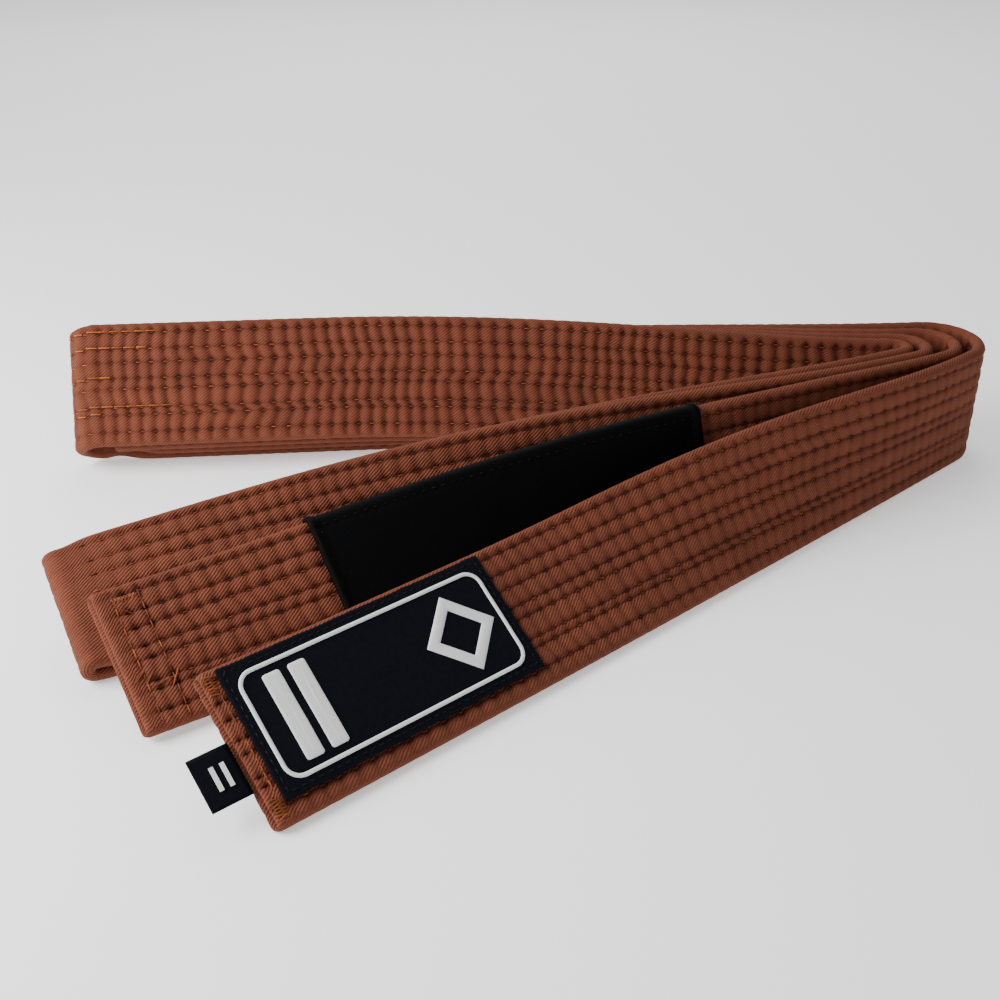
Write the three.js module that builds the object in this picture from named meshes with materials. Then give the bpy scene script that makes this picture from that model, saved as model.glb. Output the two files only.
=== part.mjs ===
import * as THREE from 'three';

// A quilted martial arts belt, folded into eight passes and bent into a V, lying on a table.
// Millimetres and degrees, +Z up. X runs along the back arm, the open end of the V is at -X.

// Belt section
const BELT_WIDTH = 45;
const BELT_THICKNESS = 4.5;
const COVER_WALL = 0.7;
const CORE_PLY_THICKNESS = 1.1;
const SEAM_GAP = 0.4;
const SEAM_FROM_EDGE = 4;
const EDGE_FLAT = 1.6;
const EDGE_ROUND = 1.9;

// Clearances
const LAYER_PITCH = BELT_THICKNESS + 0.4;
const SKIN_GAP = 0.3;
const SPLICE_GAP = 0.4;

// Bend at the right: one upright arc for each of the four layers, from inside to outside.
// Each radius is a free turning radius plus the layers that lie inside the arc.
const BEND = {
  inner: { x: 145.5, y: 444.1, radius: 4, exit: 26.6 },
  second: { x: 148.2, y: 444.8, radius: 4 + BELT_THICKNESS, exit: 26.6 },
  third: { x: 156.4, y: 447.4, radius: 2.6 + 2 * BELT_THICKNESS, exit: 31.3 },
  outer: { x: 160.9, y: 449.6, radius: 2.5 + 3 * BELT_THICKNESS, exit: 42.1 },
};
const BEND_SPLICE_ANGLE = 10;

// Front arm: how far each layer runs, how its heading drifts and how far it leans back
const LABEL_ARM = { length: 300, drift: -1.8, lean: 36, leanLength: 211 };
const RANK_ARM = { length: 304, drift: 2.3, lean: 33, leanLength: 308 };
const FOLD_ARM = { length: 297.5, drift: 2.9, lean: 22, leanLength: 350 };

// Back arm: heading from the bend, lean of the stack, and the slide of each layer on the next
const BACK_ARM = { heading: 185.1, length: 309.5, lean: 62.8, leanLength: 227, slide: 1.6 };
const INNER_FOLD_SHORT = 9;
const STACK_SETTLE_LENGTH = 90;

// Label end
const TAIL_LENGTH = 106;
const HINGE_GAP = 0.4;
const PATCH_LENGTH = 86;
const PATCH_END_MARGIN = 3;
const PATCH_LOW_MARGIN = 5.5;
const PATCH_TOP_MARGIN = 1.5;
const PATCH_THICKNESS = 0.8;
const BORDER_INSET = 3.2;
const BORDER_WIDTH = 1.3;
const BORDER_HEIGHT = 0.4;
const BORDER_CORNER = 5;
const EMBLEM_WIDTH = 24;
const EMBLEM_FROM_RIGHT = 27;
const BAR_LENGTH = 25;
const BAR_WIDTH = 5.2;
const BAR_FROM_LEFT = 10;
const BAR_SPACING = 7.6;
const TAB_LENGTH = 11.5;
const TAB_WIDTH = 14.5;
const TAB_THICKNESS = 0.6;
const TAB_LOW_MARGIN = 11.5;
const TURN_IN_DEPTH = 1.5;
const BARTACK_LENGTH = 5;
const BARTACK_WIDTH = 2;

// Plain end and rank bar
const BAR_START = 64;
const RANK_BAR_LENGTH = 133;
const RANK_BAR_WALL = 0.6;
const CLOSE_STITCH_INSET = [4, 11.5];
const STITCH_WIDTH = 0.8;
const STITCH_BAR_HEIGHT = 0.35;

// How finely the passes, arcs and folds are divided
const PASS_STEP = 22;
const ARC_STEPS = 5;
const FOLD_STEPS = 6;

const rad = THREE.MathUtils.degToRad;

function smooth(value) {
  const x = THREE.MathUtils.clamp(value, 0, 1);
  return x * x * (3 - 2 * x);
}

function matte(color, roughness = 0.9) {
  return new THREE.MeshStandardMaterial({ color, roughness, metalness: 0 });
}

const cottonTwill = () => matte(0x7d4630);
const coreCanvas = () => matte(0xcbbd9f);
const blackCotton = () => matte(0x0c0d12);
const labelWeave = () => matte(0x171a24);
const whiteThread = () => matte(0xe6e6e6, 0.7);
const orangeThread = () => matte(0xb5642c, 0.7);

// A frame is one cross-section of the strip: its middle, the way the strip runs (t),
// the way its width points (e, the upper edge) and the normal of its face (n = t x e).
function makeFrame(low, heading, lean, rise = 0) {
  const h = rad(heading);
  const tilt = rad(lean);
  const t = new THREE.Vector3(Math.cos(h), Math.sin(h), 0);
  const e = new THREE.Vector3(
    Math.sin(h) * Math.cos(tilt),
    -Math.cos(h) * Math.cos(tilt),
    Math.sin(tilt),
  );
  const n = new THREE.Vector3().crossVectors(t, e);
  const c = low.clone().addScaledVector(e, BELT_WIDTH / 2 - EDGE_ROUND);
  c.z += rise + EDGE_ROUND + (BELT_THICKNESS / 2 - EDGE_ROUND) * Math.cos(tilt);
  return { c, t, e, n };
}

function turned(frame) {
  return {
    c: frame.c.clone(),
    t: frame.t.clone().negate(),
    e: frame.e.clone(),
    n: frame.n.clone().negate(),
  };
}

function shifted(frame, alongN, alongE = 0, alongT = 0) {
  const c = frame.c.clone().addScaledVector(frame.n, alongN);
  c.addScaledVector(frame.e, alongE).addScaledVector(frame.t, alongT);
  return { c, t: frame.t, e: frame.e, n: frame.n };
}

// Frames on an upright arc of the bend; the angle is measured from the arc's centre.
function arcFrames(arc, fromAngle, toAngle, outwardToFront) {
  const frames = [];
  for (let i = 0; i <= ARC_STEPS; i += 1) {
    const angle = fromAngle + ((toAngle - fromAngle) * i) / ARC_STEPS;
    const a = rad(angle);
    const low = new THREE.Vector3(
      arc.x + arc.radius * Math.cos(a),
      arc.y + arc.radius * Math.sin(a),
      0,
    );
    frames.push(makeFrame(low, outwardToFront ? angle - 90 : angle + 90, 90));
  }
  return frames;
}

function trimAngle(arc) {
  return THREE.MathUtils.radToDeg(SPLICE_GAP / 2 / arc.radius);
}

// The bend of one layer seen from the splice, towards the front arm or towards the back arm.
function bendToFront(arc) {
  return arcFrames(arc, BEND_SPLICE_ANGLE - trimAngle(arc), arc.exit - 90, true);
}

function bendToBack(arc) {
  return arcFrames(arc, BEND_SPLICE_ANGLE + trimAngle(arc), BACK_ARM.heading - 90, false);
}

// The lower edge of a front pass at a distance from the bend.
function frontPoint(arc, arm, distance) {
  const steps = 24;
  const a = rad(arc.exit);
  const point = new THREE.Vector3(
    arc.x + arc.radius * Math.sin(a),
    arc.y - arc.radius * Math.cos(a),
    0,
  );
  for (let i = 0; i < steps; i += 1) {
    const middle = (distance * (i + 0.5)) / steps;
    const heading = rad(frontHeading(arc, arm, middle));
    point.x += (Math.cos(heading) * distance) / steps;
    point.y += (Math.sin(heading) * distance) / steps;
  }
  return point;
}

function frontHeading(arc, arm, distance) {
  return arc.exit + 180 + (arm.drift * distance) / arm.length;
}

function frontLean(arm, distance) {
  return 90 - (90 - arm.lean) * smooth(distance / arm.leanLength);
}

function frontFrame(arc, arm, distance, rise = 0) {
  const low = frontPoint(arc, arm, distance);
  return makeFrame(low, frontHeading(arc, arm, distance), frontLean(arm, distance), rise);
}

// Cross-sections lie on one grid, so that neighbouring layers are faceted alike.
function distances(from, to, marks = []) {
  const fixed = [from, ...marks.filter((mark) => mark > from && mark < to), to];
  const grid = [];
  for (let d = PASS_STEP * Math.ceil(from / PASS_STEP); d < to; d += PASS_STEP) {
    if (fixed.every((mark) => Math.abs(mark - d) > PASS_STEP / 4)) {
      grid.push(d);
    }
  }
  return [...fixed, ...grid].sort((a, b) => a - b);
}

// The pass with the rank bar is held up by the wall of the bar's sleeve.
function rankRise(distance) {
  return (RANK_BAR_WALL + 2 * SKIN_GAP) * smooth(distance / 60);
}

function labelPass(from, to) {
  return distances(from, to).map((d) => frontFrame(BEND.outer, LABEL_ARM, d));
}

function rankPass(from, to) {
  const barEnd = RANK_ARM.length - BAR_START;
  return distances(from, to, [barEnd - RANK_BAR_LENGTH, barEnd])
    .map((d) => frontFrame(BEND.third, RANK_ARM, d, rankRise(d)));
}

// Two passes that share their cross-sections: the lower one and the one that lies on it.
function foldPass() {
  const lower = distances(0, FOLD_ARM.length).map((d) => frontFrame(BEND.inner, FOLD_ARM, d));
  const lead = frontPoint(BEND.second, FOLD_ARM, 0).sub(frontPoint(BEND.inner, FOLD_ARM, 0));
  const first = frontFrame(BEND.inner, FOLD_ARM, 0);
  const startGap = -lead.dot(first.n);
  const startAhead = lead.dot(first.t);
  const upper = distances(startAhead, FOLD_ARM.length).map((d) => {
    const settle = smooth((d - startAhead) / STACK_SETTLE_LENGTH);
    const gap = startGap + (LAYER_PITCH - startGap) * settle;
    return shifted(frontFrame(BEND.inner, FOLD_ARM, d), -gap);
  });
  return { lower, upper };
}

// The back arm: every layer lies on the outermost one, which rests on the table.
function backFrame(distance) {
  const a = rad(BACK_ARM.heading);
  const arc = BEND.outer;
  const low = new THREE.Vector3(
    arc.x + arc.radius * Math.sin(a) + Math.cos(a) * distance,
    arc.y - arc.radius * Math.cos(a) + Math.sin(a) * distance,
    0,
  );
  const turnedOver = smooth(distance / BACK_ARM.leanLength);
  return makeFrame(low, BACK_ARM.heading, 90 - (90 - BACK_ARM.lean) * turnedOver);
}

function backPass(arc, layer, length) {
  const a = rad(BACK_ARM.heading);
  const start = new THREE.Vector3(
    arc.x + arc.radius * Math.sin(a),
    arc.y - arc.radius * Math.cos(a),
    0,
  );
  const origin = backFrame(0);
  const lead = start.sub(new THREE.Vector3(origin.c.x, origin.c.y, 0));
  const startGap = -lead.dot(origin.n);
  const startAhead = lead.dot(origin.t);
  return distances(startAhead, length).map((d) => {
    const settle = smooth((d - startAhead) / STACK_SETTLE_LENGTH);
    const gap = startGap + (layer * LAYER_PITCH - startGap) * settle;
    const slide = BACK_ARM.slide * layer * smooth(d / BACK_ARM.leanLength);
    return shifted(backFrame(d), -gap, slide);
  });
}

// Joins a lower pass to the pass above it with a half turn and returns one long run of frames.
function foldOver(lower, upper) {
  const from = lower[lower.length - 1];
  const to = upper[upper.length - 1];
  const across = to.c.clone().sub(from.c);
  const height = -across.dot(from.n);
  const slide = across.dot(from.e);
  const frames = [...lower];
  for (let i = 1; i < FOLD_STEPS; i += 1) {
    const share = i / FOLD_STEPS;
    const angle = Math.PI * share;
    const t = from.t.clone().multiplyScalar(Math.cos(angle));
    t.addScaledVector(from.n, -Math.sin(angle));
    const c = from.c.clone().addScaledVector(from.t, (height / 2) * Math.sin(angle));
    c.addScaledVector(from.n, (-height / 2) * (1 - Math.cos(angle)));
    c.addScaledVector(from.e, slide * share);
    frames.push({ c, t, e: from.e.clone(), n: new THREE.Vector3().crossVectors(t, from.e) });
  }
  for (let i = upper.length - 1; i >= 0; i -= 1) {
    frames.push(turned(upper[i]));
  }
  return frames;
}

// Sweeps a closed outline, given as [along e, along n] corners, through the frames.
function sweep(name, frames, outline, material) {
  const corners = THREE.ShapeUtils.area(outline.map(([x, y]) => new THREE.Vector2(x, y))) > 0
    ? outline
    : [...outline].reverse();
  const count = corners.length;
  const positions = [];
  for (const frame of frames) {
    for (const [alongE, alongN] of corners) {
      const point = frame.c.clone().addScaledVector(frame.e, alongE);
      positions.push(...point.addScaledVector(frame.n, alongN).toArray());
    }
  }
  const index = [];
  for (let i = 0; i < frames.length - 1; i += 1) {
    for (let k = 0; k < count; k += 1) {
      const next = (k + 1) % count;
      const a = i * count + k;
      const b = i * count + next;
      if (corners[next][0] < corners[k][0]) {
        index.push(a, b, b + count, a, b + count, a + count);
      } else {
        index.push(a, b, a + count, b, b + count, a + count);
      }
    }
  }
  const flat = corners.map(([x, y]) => new THREE.Vector2(x, y));
  const last = (frames.length - 1) * count;
  for (const [a, b, c] of THREE.ShapeUtils.triangulateShape(flat, [])) {
    index.push(c, b, a, last + a, last + b, last + c);
  }
  const geometry = new THREE.BufferGeometry();
  geometry.setAttribute('position', new THREE.Float32BufferAttribute(positions, 3));
  geometry.setIndex(index);
  geometry.computeVertexNormals();
  const mesh = new THREE.Mesh(geometry, material);
  mesh.name = name;
  return mesh;
}

function box(low, high, floor, ceiling) {
  return [[low, floor], [high, floor], [high, ceiling], [low, ceiling]];
}

// The same box with a corner in the middle of the belt, as the cover has.
function plyBox(half, floor, ceiling) {
  return [
    [-half, floor], [0, floor], [half, floor], [half, ceiling], [0, ceiling], [-half, ceiling],
  ];
}

// One edge of the belt's section, rounded, from the face at -n round to the face at +n.
function roundEdge(half, thick) {
  const shoulder = 0.72 * thick;
  const cut = 0.3 * EDGE_ROUND;
  return [
    [half - EDGE_ROUND, -thick], [half - cut, -shoulder], [half, 0],
    [half - cut, shoulder], [half - EDGE_ROUND, thick],
  ];
}

// The lower edge is the same, with a narrow flat that stands on the table.
function flatEdge(half, thick) {
  const [face, shoulder, , farShoulder, farFace] = roundEdge(half, thick);
  const flat = [[half, -EDGE_FLAT / 2], [half, EDGE_FLAT / 2]];
  return [face, shoulder, ...flat, farShoulder, farFace].map(([x, y]) => [-x, -y]);
}

// The cover is one strip wrapped round the core. Its edges meet in a lengthwise seam on one
// face (side is 1 or -1).
function coverOutline(side) {
  const a = BELT_WIDTH / 2;
  const b = BELT_THICKNESS / 2;
  const innerA = a - COVER_WALL;
  const innerB = b - COVER_WALL;
  const innerCut = 0.5 * EDGE_ROUND;
  const seamLow = -a + SEAM_FROM_EDGE;
  const seamHigh = seamLow + SEAM_GAP;
  const outline = [
    [seamHigh, b], [0, b], ...roundEdge(a, b).reverse(), [0, -b],
    ...flatEdge(a, b).reverse(), [seamLow, b],
    [seamLow, innerB], [-innerA + innerCut, innerB], [-innerA, 0],
    [-innerA + innerCut, -innerB], [0, -innerB], [innerA - innerCut, -innerB], [innerA, 0],
    [innerA - innerCut, innerB], [0, innerB], [seamHigh, innerB],
  ];
  return outline.map(([x, y]) => [x, side * y]);
}

function corePlies(name, frames) {
  const half = BELT_WIDTH / 2 - COVER_WALL - 0.5 * EDGE_ROUND - SKIN_GAP;
  const cavity = BELT_THICKNESS / 2 - COVER_WALL;
  const spare = (2 * cavity - 2 * CORE_PLY_THICKNESS) / 3;
  return [1, -1].map((side, i) => {
    const near = (side * spare) / 2;
    const far = side * (spare / 2 + CORE_PLY_THICKNESS);
    const outline = plyBox(half, Math.min(near, far), Math.max(near, far));
    return sweep(`${name}_core_ply_${i + 1}`, frames, outline, coreCanvas());
  });
}

function beltRun(name, frames, seamSide) {
  return [
    sweep(`${name}_cover`, frames, coverOutline(seamSide), cottonTwill()),
    ...corePlies(name, frames),
  ];
}

// The strip that is turned in to close a free end of the cover.
function turnIn(name, end) {
  const outline = [
    [-BELT_WIDTH / 2 + 0.6, 0], [-BELT_WIDTH / 2 + EDGE_ROUND, -BELT_THICKNESS / 2],
    [BELT_WIDTH / 2 - EDGE_ROUND, -BELT_THICKNESS / 2], [BELT_WIDTH / 2 - 0.6, 0],
    [BELT_WIDTH / 2 - EDGE_ROUND, BELT_THICKNESS / 2],
    [-BELT_WIDTH / 2 + EDGE_ROUND, BELT_THICKNESS / 2],
  ];
  const near = shifted(end, 0, 0, SKIN_GAP);
  const far = shifted(end, 0, 0, SKIN_GAP + TURN_IN_DEPTH);
  return sweep(name, [near, far], outline, cottonTwill());
}

// A thin strip of thread on the visible face, between two distances along the width.
function threadBar(name, pass, low, high) {
  const floor = -BELT_THICKNESS / 2 - SKIN_GAP;
  const outline = box(low, high, floor - STITCH_BAR_HEIGHT, floor);
  return sweep(name, pass, outline, orangeThread());
}

function labelArm() {
  const hinge = LABEL_ARM.length - TAIL_LENGTH;
  const pass = labelPass(0, hinge - HINGE_GAP / 2);
  return beltRun('label_arm', [...bendToFront(BEND.outer).slice(0, -1), ...pass], 1);
}

function labelTail() {
  const hinge = LABEL_ARM.length - TAIL_LENGTH;
  const pass = labelPass(hinge + HINGE_GAP / 2, LABEL_ARM.length);
  const end = pass[pass.length - 1];
  const edge = BELT_WIDTH / 2;
  const tack = labelPass(LABEL_ARM.length - BARTACK_WIDTH - 0.3, LABEL_ARM.length - 0.3);
  return [
    ...beltRun('label_tail', pass, 1),
    turnIn('label_end_turn_in', end),
    threadBar('label_end_bartack_top', tack, edge - BARTACK_LENGTH - 2.5, edge - 2.5),
    threadBar('label_end_bartack_low', tack, -edge + 2.5, -edge + BARTACK_LENGTH + 2.5),
  ];
}

// The patch lies on the visible face: x runs along the belt from its free end, y up the width.
function patchGroup() {
  const right = LABEL_ARM.length - PATCH_END_MARGIN;
  const left = right - PATCH_LENGTH;
  const low = -BELT_WIDTH / 2 + PATCH_LOW_MARGIN;
  const high = BELT_WIDTH / 2 - PATCH_TOP_MARGIN;
  const floor = -BELT_THICKNESS / 2 - SKIN_GAP;
  const outline = box(low, high, floor - PATCH_THICKNESS, floor);
  const patch = sweep('label_patch', labelPass(left, right), outline, labelWeave());
  const corner = labelPass(right, right + 1)[0];
  const face = shifted(corner, floor - PATCH_THICKNESS - SKIN_GAP / 2, low);
  const middle = labelPass((left + right) / 2, right)[0];
  const basis = new THREE.Matrix4().makeBasis(
    middle.t.clone().negate(),
    middle.e,
    middle.n.clone().negate(),
  );
  const size = { width: PATCH_LENGTH, height: high - low };
  const marks = [borderMesh(size), emblemMesh(size), ...barMeshes(size)];
  for (const mesh of marks) {
    mesh.geometry.applyMatrix4(basis);
    mesh.geometry.translate(face.c.x, face.c.y, face.c.z);
  }
  return [patch, ...marks];
}

function extruded(name, shape, depth, material) {
  const options = { depth, bevelEnabled: false, curveSegments: 3 };
  const mesh = new THREE.Mesh(new THREE.ExtrudeGeometry(shape, options), material);
  mesh.name = name;
  return mesh;
}

function roundedRectangle(path, x, y, width, height, corner) {
  path.moveTo(x + corner, y);
  path.lineTo(x + width - corner, y);
  path.quadraticCurveTo(x + width, y, x + width, y + corner);
  path.lineTo(x + width, y + height - corner);
  path.quadraticCurveTo(x + width, y + height, x + width - corner, y + height);
  path.lineTo(x + corner, y + height);
  path.quadraticCurveTo(x, y + height, x, y + height - corner);
  path.lineTo(x, y + corner);
  path.quadraticCurveTo(x, y, x + corner, y);
  return path;
}

function borderMesh({ width, height }) {
  const inset = BORDER_INSET;
  const shape = roundedRectangle(
    new THREE.Shape(), inset, inset, width - 2 * inset, height - 2 * inset, BORDER_CORNER,
  );
  const hole = inset + BORDER_WIDTH;
  shape.holes.push(roundedRectangle(
    new THREE.Path(), hole, hole, width - 2 * hole, height - 2 * hole,
    BORDER_CORNER - BORDER_WIDTH,
  ));
  return extruded('label_border', shape, BORDER_HEIGHT, whiteThread());
}

// A plain four-point knot: a square ring standing on its corner.
function emblemMesh({ width, height }) {
  const x = width - EMBLEM_FROM_RIGHT + EMBLEM_WIDTH / 2 - BORDER_INSET;
  const y = height / 2;
  const half = EMBLEM_WIDTH / 2;
  const diamond = (path, reach) => {
    path.moveTo(x - reach, y);
    path.lineTo(x, y - reach);
    path.lineTo(x + reach, y);
    path.lineTo(x, y + reach);
    path.closePath();
    return path;
  };
  const shape = diamond(new THREE.Shape(), half);
  shape.holes.push(diamond(new THREE.Path(), half * 0.62));
  return extruded('label_emblem', shape, BORDER_HEIGHT, whiteThread());
}

// Two plain woven bars run up the width of the patch, near the belt's free end.
function barMeshes({ height }) {
  return [0, 1].map((i) => {
    const shape = new THREE.Shape();
    const x = BAR_FROM_LEFT + i * BAR_SPACING;
    const y = (height - BAR_LENGTH) / 2;
    shape.moveTo(x, y);
    shape.lineTo(x + BAR_WIDTH, y);
    shape.lineTo(x + BAR_WIDTH, y + BAR_LENGTH);
    shape.lineTo(x, y + BAR_LENGTH);
    shape.closePath();
    return extruded(`label_bar_${i + 1}`, shape, BORDER_HEIGHT, whiteThread());
  });
}

// The size tab is a short loop of ribbon that comes out of the middle of the end seam.
function sizeTab() {
  const pass = labelPass(LABEL_ARM.length - 1, LABEL_ARM.length);
  const end = pass[pass.length - 1];
  const low = -BELT_WIDTH / 2 + TAB_LOW_MARGIN;
  const high = low + TAB_WIDTH;
  const root = SKIN_GAP * 2 + TURN_IN_DEPTH;
  const floor = -TAB_THICKNESS / 2;
  const frames = [shifted(end, 0, 0, root), shifted(end, 0, 0, root + TAB_LENGTH)];
  const tab = sweep('size_tab', frames, box(low, high, floor, -floor), blackCotton());
  const marks = [0, 1].map((i) => {
    const from = root + 3.2 + i * 3;
    const strip = [shifted(end, 0, 0, from), shifted(end, 0, 0, from + 1.2)];
    const top = floor - SKIN_GAP / 2;
    const outline = box(low + 4, high - 4, top - 0.3, top);
    return sweep(`size_tab_mark_${i + 1}`, strip, outline, whiteThread());
  });
  return [tab, ...marks];
}

function rankArm() {
  const pass = rankPass(0, RANK_ARM.length);
  const end = pass[pass.length - 1];
  const edge = BELT_WIDTH / 2 - 2.5;
  const rows = CLOSE_STITCH_INSET.map((inset, i) => {
    const near = RANK_ARM.length - inset;
    return threadBar(`plain_end_stitch_${i + 1}`, rankPass(near - STITCH_WIDTH, near), -edge, edge);
  });
  return [
    ...beltRun('rank_arm', [...bendToFront(BEND.third).slice(0, -1), ...pass], -1),
    turnIn('plain_end_turn_in', end),
    ...rows,
  ];
}

// The rank bar is a black strip wrapped round the belt and closed by a seam on the hidden face.
function rankBar() {
  const end = RANK_ARM.length - BAR_START;
  const a = BELT_WIDTH / 2 + SKIN_GAP;
  const b = BELT_THICKNESS / 2 + SKIN_GAP;
  const w = RANK_BAR_WALL;
  const s = SEAM_GAP / 2;
  const outline = [
    [-s, b + w], ...flatEdge(a + w, b + w), [0, -b - w], ...roundEdge(a + w, b + w),
    [s, b + w], [s, b],
    ...roundEdge(a, b).reverse(), [0, -b], ...flatEdge(a, b).reverse(), [-s, b],
  ];
  return sweep('rank_bar', rankPass(end - RANK_BAR_LENGTH, end), outline, blackCotton());
}

function foldRun() {
  const { lower, upper } = foldPass();
  const frames = foldOver(
    [...bendToFront(BEND.inner).slice(0, -1), ...lower],
    [...bendToFront(BEND.second).slice(0, -1), ...upper],
  );
  return beltRun('middle_fold', frames, -1);
}

function backRun(name, length, seamSide, low, high) {
  const lower = [...bendToBack(low.arc).slice(0, -1), ...backPass(low.arc, low.layer, length)];
  const upper = [...bendToBack(high.arc).slice(0, -1), ...backPass(high.arc, high.layer, length)];
  return beltRun(name, foldOver(lower, upper), seamSide);
}

function backArm() {
  const inside = BACK_ARM.length - INNER_FOLD_SHORT;
  const outerLow = { arc: BEND.outer, layer: 0 };
  const outerHigh = { arc: BEND.inner, layer: 3 };
  const innerLow = { arc: BEND.third, layer: 1 };
  const innerHigh = { arc: BEND.second, layer: 2 };
  return [
    ...backRun('back_outer', BACK_ARM.length, -1, outerLow, outerHigh),
    ...backRun('back_inner', inside, 1, innerLow, innerHigh),
  ];
}

function build() {
  const group = new THREE.Group();
  const pieces = [
    ...labelArm(), ...labelTail(), ...patchGroup(), ...sizeTab(),
    ...rankArm(), rankBar(), ...foldRun(), ...backArm(),
  ];
  group.add(...pieces);
  const bounds = new THREE.Box3().setFromObject(group);
  const middle = bounds.getCenter(new THREE.Vector3());
  for (const piece of pieces) {
    piece.geometry.translate(-middle.x, -middle.y, -bounds.min.z);
  }
  return group;
}

export default build();
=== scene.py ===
"""Visual model of a quilted martial arts belt, folded into eight passes and bent into a V.

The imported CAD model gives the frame, the bodies and the joints. Every length is in millimetres
until a mesh is written; meshes are in metres.
"""
from __future__ import annotations

import logging
import math
from collections.abc import Callable
from dataclasses import dataclass, field
from enum import Enum

import bmesh
import bpy
import numpy as np
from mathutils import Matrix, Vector

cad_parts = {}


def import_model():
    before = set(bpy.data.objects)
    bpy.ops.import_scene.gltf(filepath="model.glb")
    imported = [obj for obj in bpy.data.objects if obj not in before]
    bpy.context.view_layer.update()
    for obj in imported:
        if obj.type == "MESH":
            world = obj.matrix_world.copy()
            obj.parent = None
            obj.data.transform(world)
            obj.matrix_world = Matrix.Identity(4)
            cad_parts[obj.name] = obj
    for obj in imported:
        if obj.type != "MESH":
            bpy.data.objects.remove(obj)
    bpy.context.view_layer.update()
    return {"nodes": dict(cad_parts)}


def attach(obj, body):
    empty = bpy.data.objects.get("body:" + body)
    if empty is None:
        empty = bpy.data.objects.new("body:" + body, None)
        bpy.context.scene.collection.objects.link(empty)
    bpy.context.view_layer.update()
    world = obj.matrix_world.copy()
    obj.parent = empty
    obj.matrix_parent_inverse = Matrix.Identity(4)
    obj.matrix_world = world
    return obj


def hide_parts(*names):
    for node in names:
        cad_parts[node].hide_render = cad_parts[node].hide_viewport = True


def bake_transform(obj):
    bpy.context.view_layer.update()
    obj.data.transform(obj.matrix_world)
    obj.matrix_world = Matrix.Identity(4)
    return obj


MM = 0.001
LOG = logging.getLogger("belt")
SHIFT = np.array([-9.7938, -352.7795, 0.0525])  # from the bend's coordinates to the footprint's middle

BELT_BODY = "folded_belt"
LABEL_BODY = "label_end"
TAB_BODY = "tab"


# ---------------------------------------------------------------- sizes


@dataclass(frozen=True)
class Section:
    """Cross-section of the belt."""

    width: float = 45.0
    thickness: float = 4.5
    edge_round: float = 1.9
    rows: tuple[float, ...] = (0.08, 0.21, 0.32, 0.45, 0.535, 0.686, 0.745, 0.884)
    pitch: float = 5.2

    @property
    def a(self) -> float:
        """Half the width."""
        return self.width / 2

    @property
    def b(self) -> float:
        """Half the thickness."""
        return self.thickness / 2

    def row_lines(self) -> np.ndarray:
        """Where the lengthwise stitch rows lie across the width, from the lower edge up."""
        return np.sort(self.a - np.array(self.rows) * self.width)


@dataclass(frozen=True)
class Arc:
    """One upright arc of the bend."""

    x: float
    y: float
    radius: float
    exit: float


@dataclass(frozen=True)
class Arm:
    """A front pass: its length, the drift of its heading, and how it leans back."""

    length: float
    drift: float
    lean: float
    lean_length: float


SECTION = Section()
INNER = Arc(145.5, 444.1, 4.0, 26.6)
SECOND = Arc(148.2, 444.8, 8.5, 26.6)
THIRD = Arc(156.4, 447.4, 11.6, 31.3)
OUTER = Arc(160.9, 449.6, 16.0, 42.1)
SPLICE_ANGLE = 10.0
LABEL_ARM = Arm(300.0, -1.8, 36.0, 211.0)
RANK_ARM = Arm(304.0, 2.3, 33.0, 308.0)
FOLD_ARM = Arm(297.5, 2.9, 22.0, 350.0)
BACK_HEADING, BACK_LENGTH, BACK_LEAN, BACK_LEAN_LENGTH, BACK_SLIDE = 185.1, 309.5, 62.8, 227.0, 1.6
INNER_FOLD_SHORT = 9.0
SETTLE_LENGTH = 90.0
LAYER_PITCH = SECTION.thickness + 0.4
TAIL_LENGTH = 106.0
BAR_START, BAR_LENGTH = 64.0, 133.0
BAR_WALL, BAR_GAP = 0.6, 0.3
BAR_RISE = BAR_WALL + 2 * BAR_GAP
LABEL_LENGTH, LABEL_END_MARGIN = 86.0, 3.0
LABEL_LOW, LABEL_HIGH = -17.0, 21.0
PLAIN_END_ROWS = (4.0, 11.5)


# ---------------------------------------------------------------- the lines the belt follows


def smooth(x: np.ndarray | float) -> np.ndarray:
    """Eases from 0 to 1."""
    x = np.clip(x, 0.0, 1.0)
    return x * x * (3 - 2 * x)


@dataclass
class Run:
    """Cross-sections of the strip: middle c, way along t, way up the width e, face normal n."""

    c: np.ndarray
    t: np.ndarray
    e: np.ndarray
    n: np.ndarray

    def turned(self) -> "Run":
        """The same cross-sections met from the other end."""
        return Run(self.c[::-1], -self.t[::-1], self.e[::-1], -self.n[::-1])

    def along(self) -> np.ndarray:
        """Distance of each cross-section from the first."""
        steps = np.linalg.norm(np.diff(self.c, axis=0), axis=1)
        return np.concatenate([[0.0], np.cumsum(steps)])

    def at(self, distance: np.ndarray) -> "Run":
        """Cross-sections at given distances from the first.

        Args:
            distance: millimetres along the run; past the last one the run goes straight on.
        Returns:
            One cross-section for each distance.
        """
        s = self.along()
        parts = []
        for values in (self.c, self.t, self.e, self.n):
            parts.append(np.stack([np.interp(distance, s, values[:, i]) for i in range(3)], 1))
        over = np.maximum(distance - s[-1], 0.0)[:, None]
        parts[0] = parts[0] + over * self.t[-1]
        for k in (1, 2, 3):
            parts[k] /= np.linalg.norm(parts[k], axis=1)[:, None]
        return Run(*parts)


def joined(*runs: Run) -> Run:
    """One run from several that follow each other."""
    parts = [np.concatenate([getattr(run, k) for run in runs]) for k in ("c", "t", "e", "n")]
    return Run(*parts)


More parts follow.
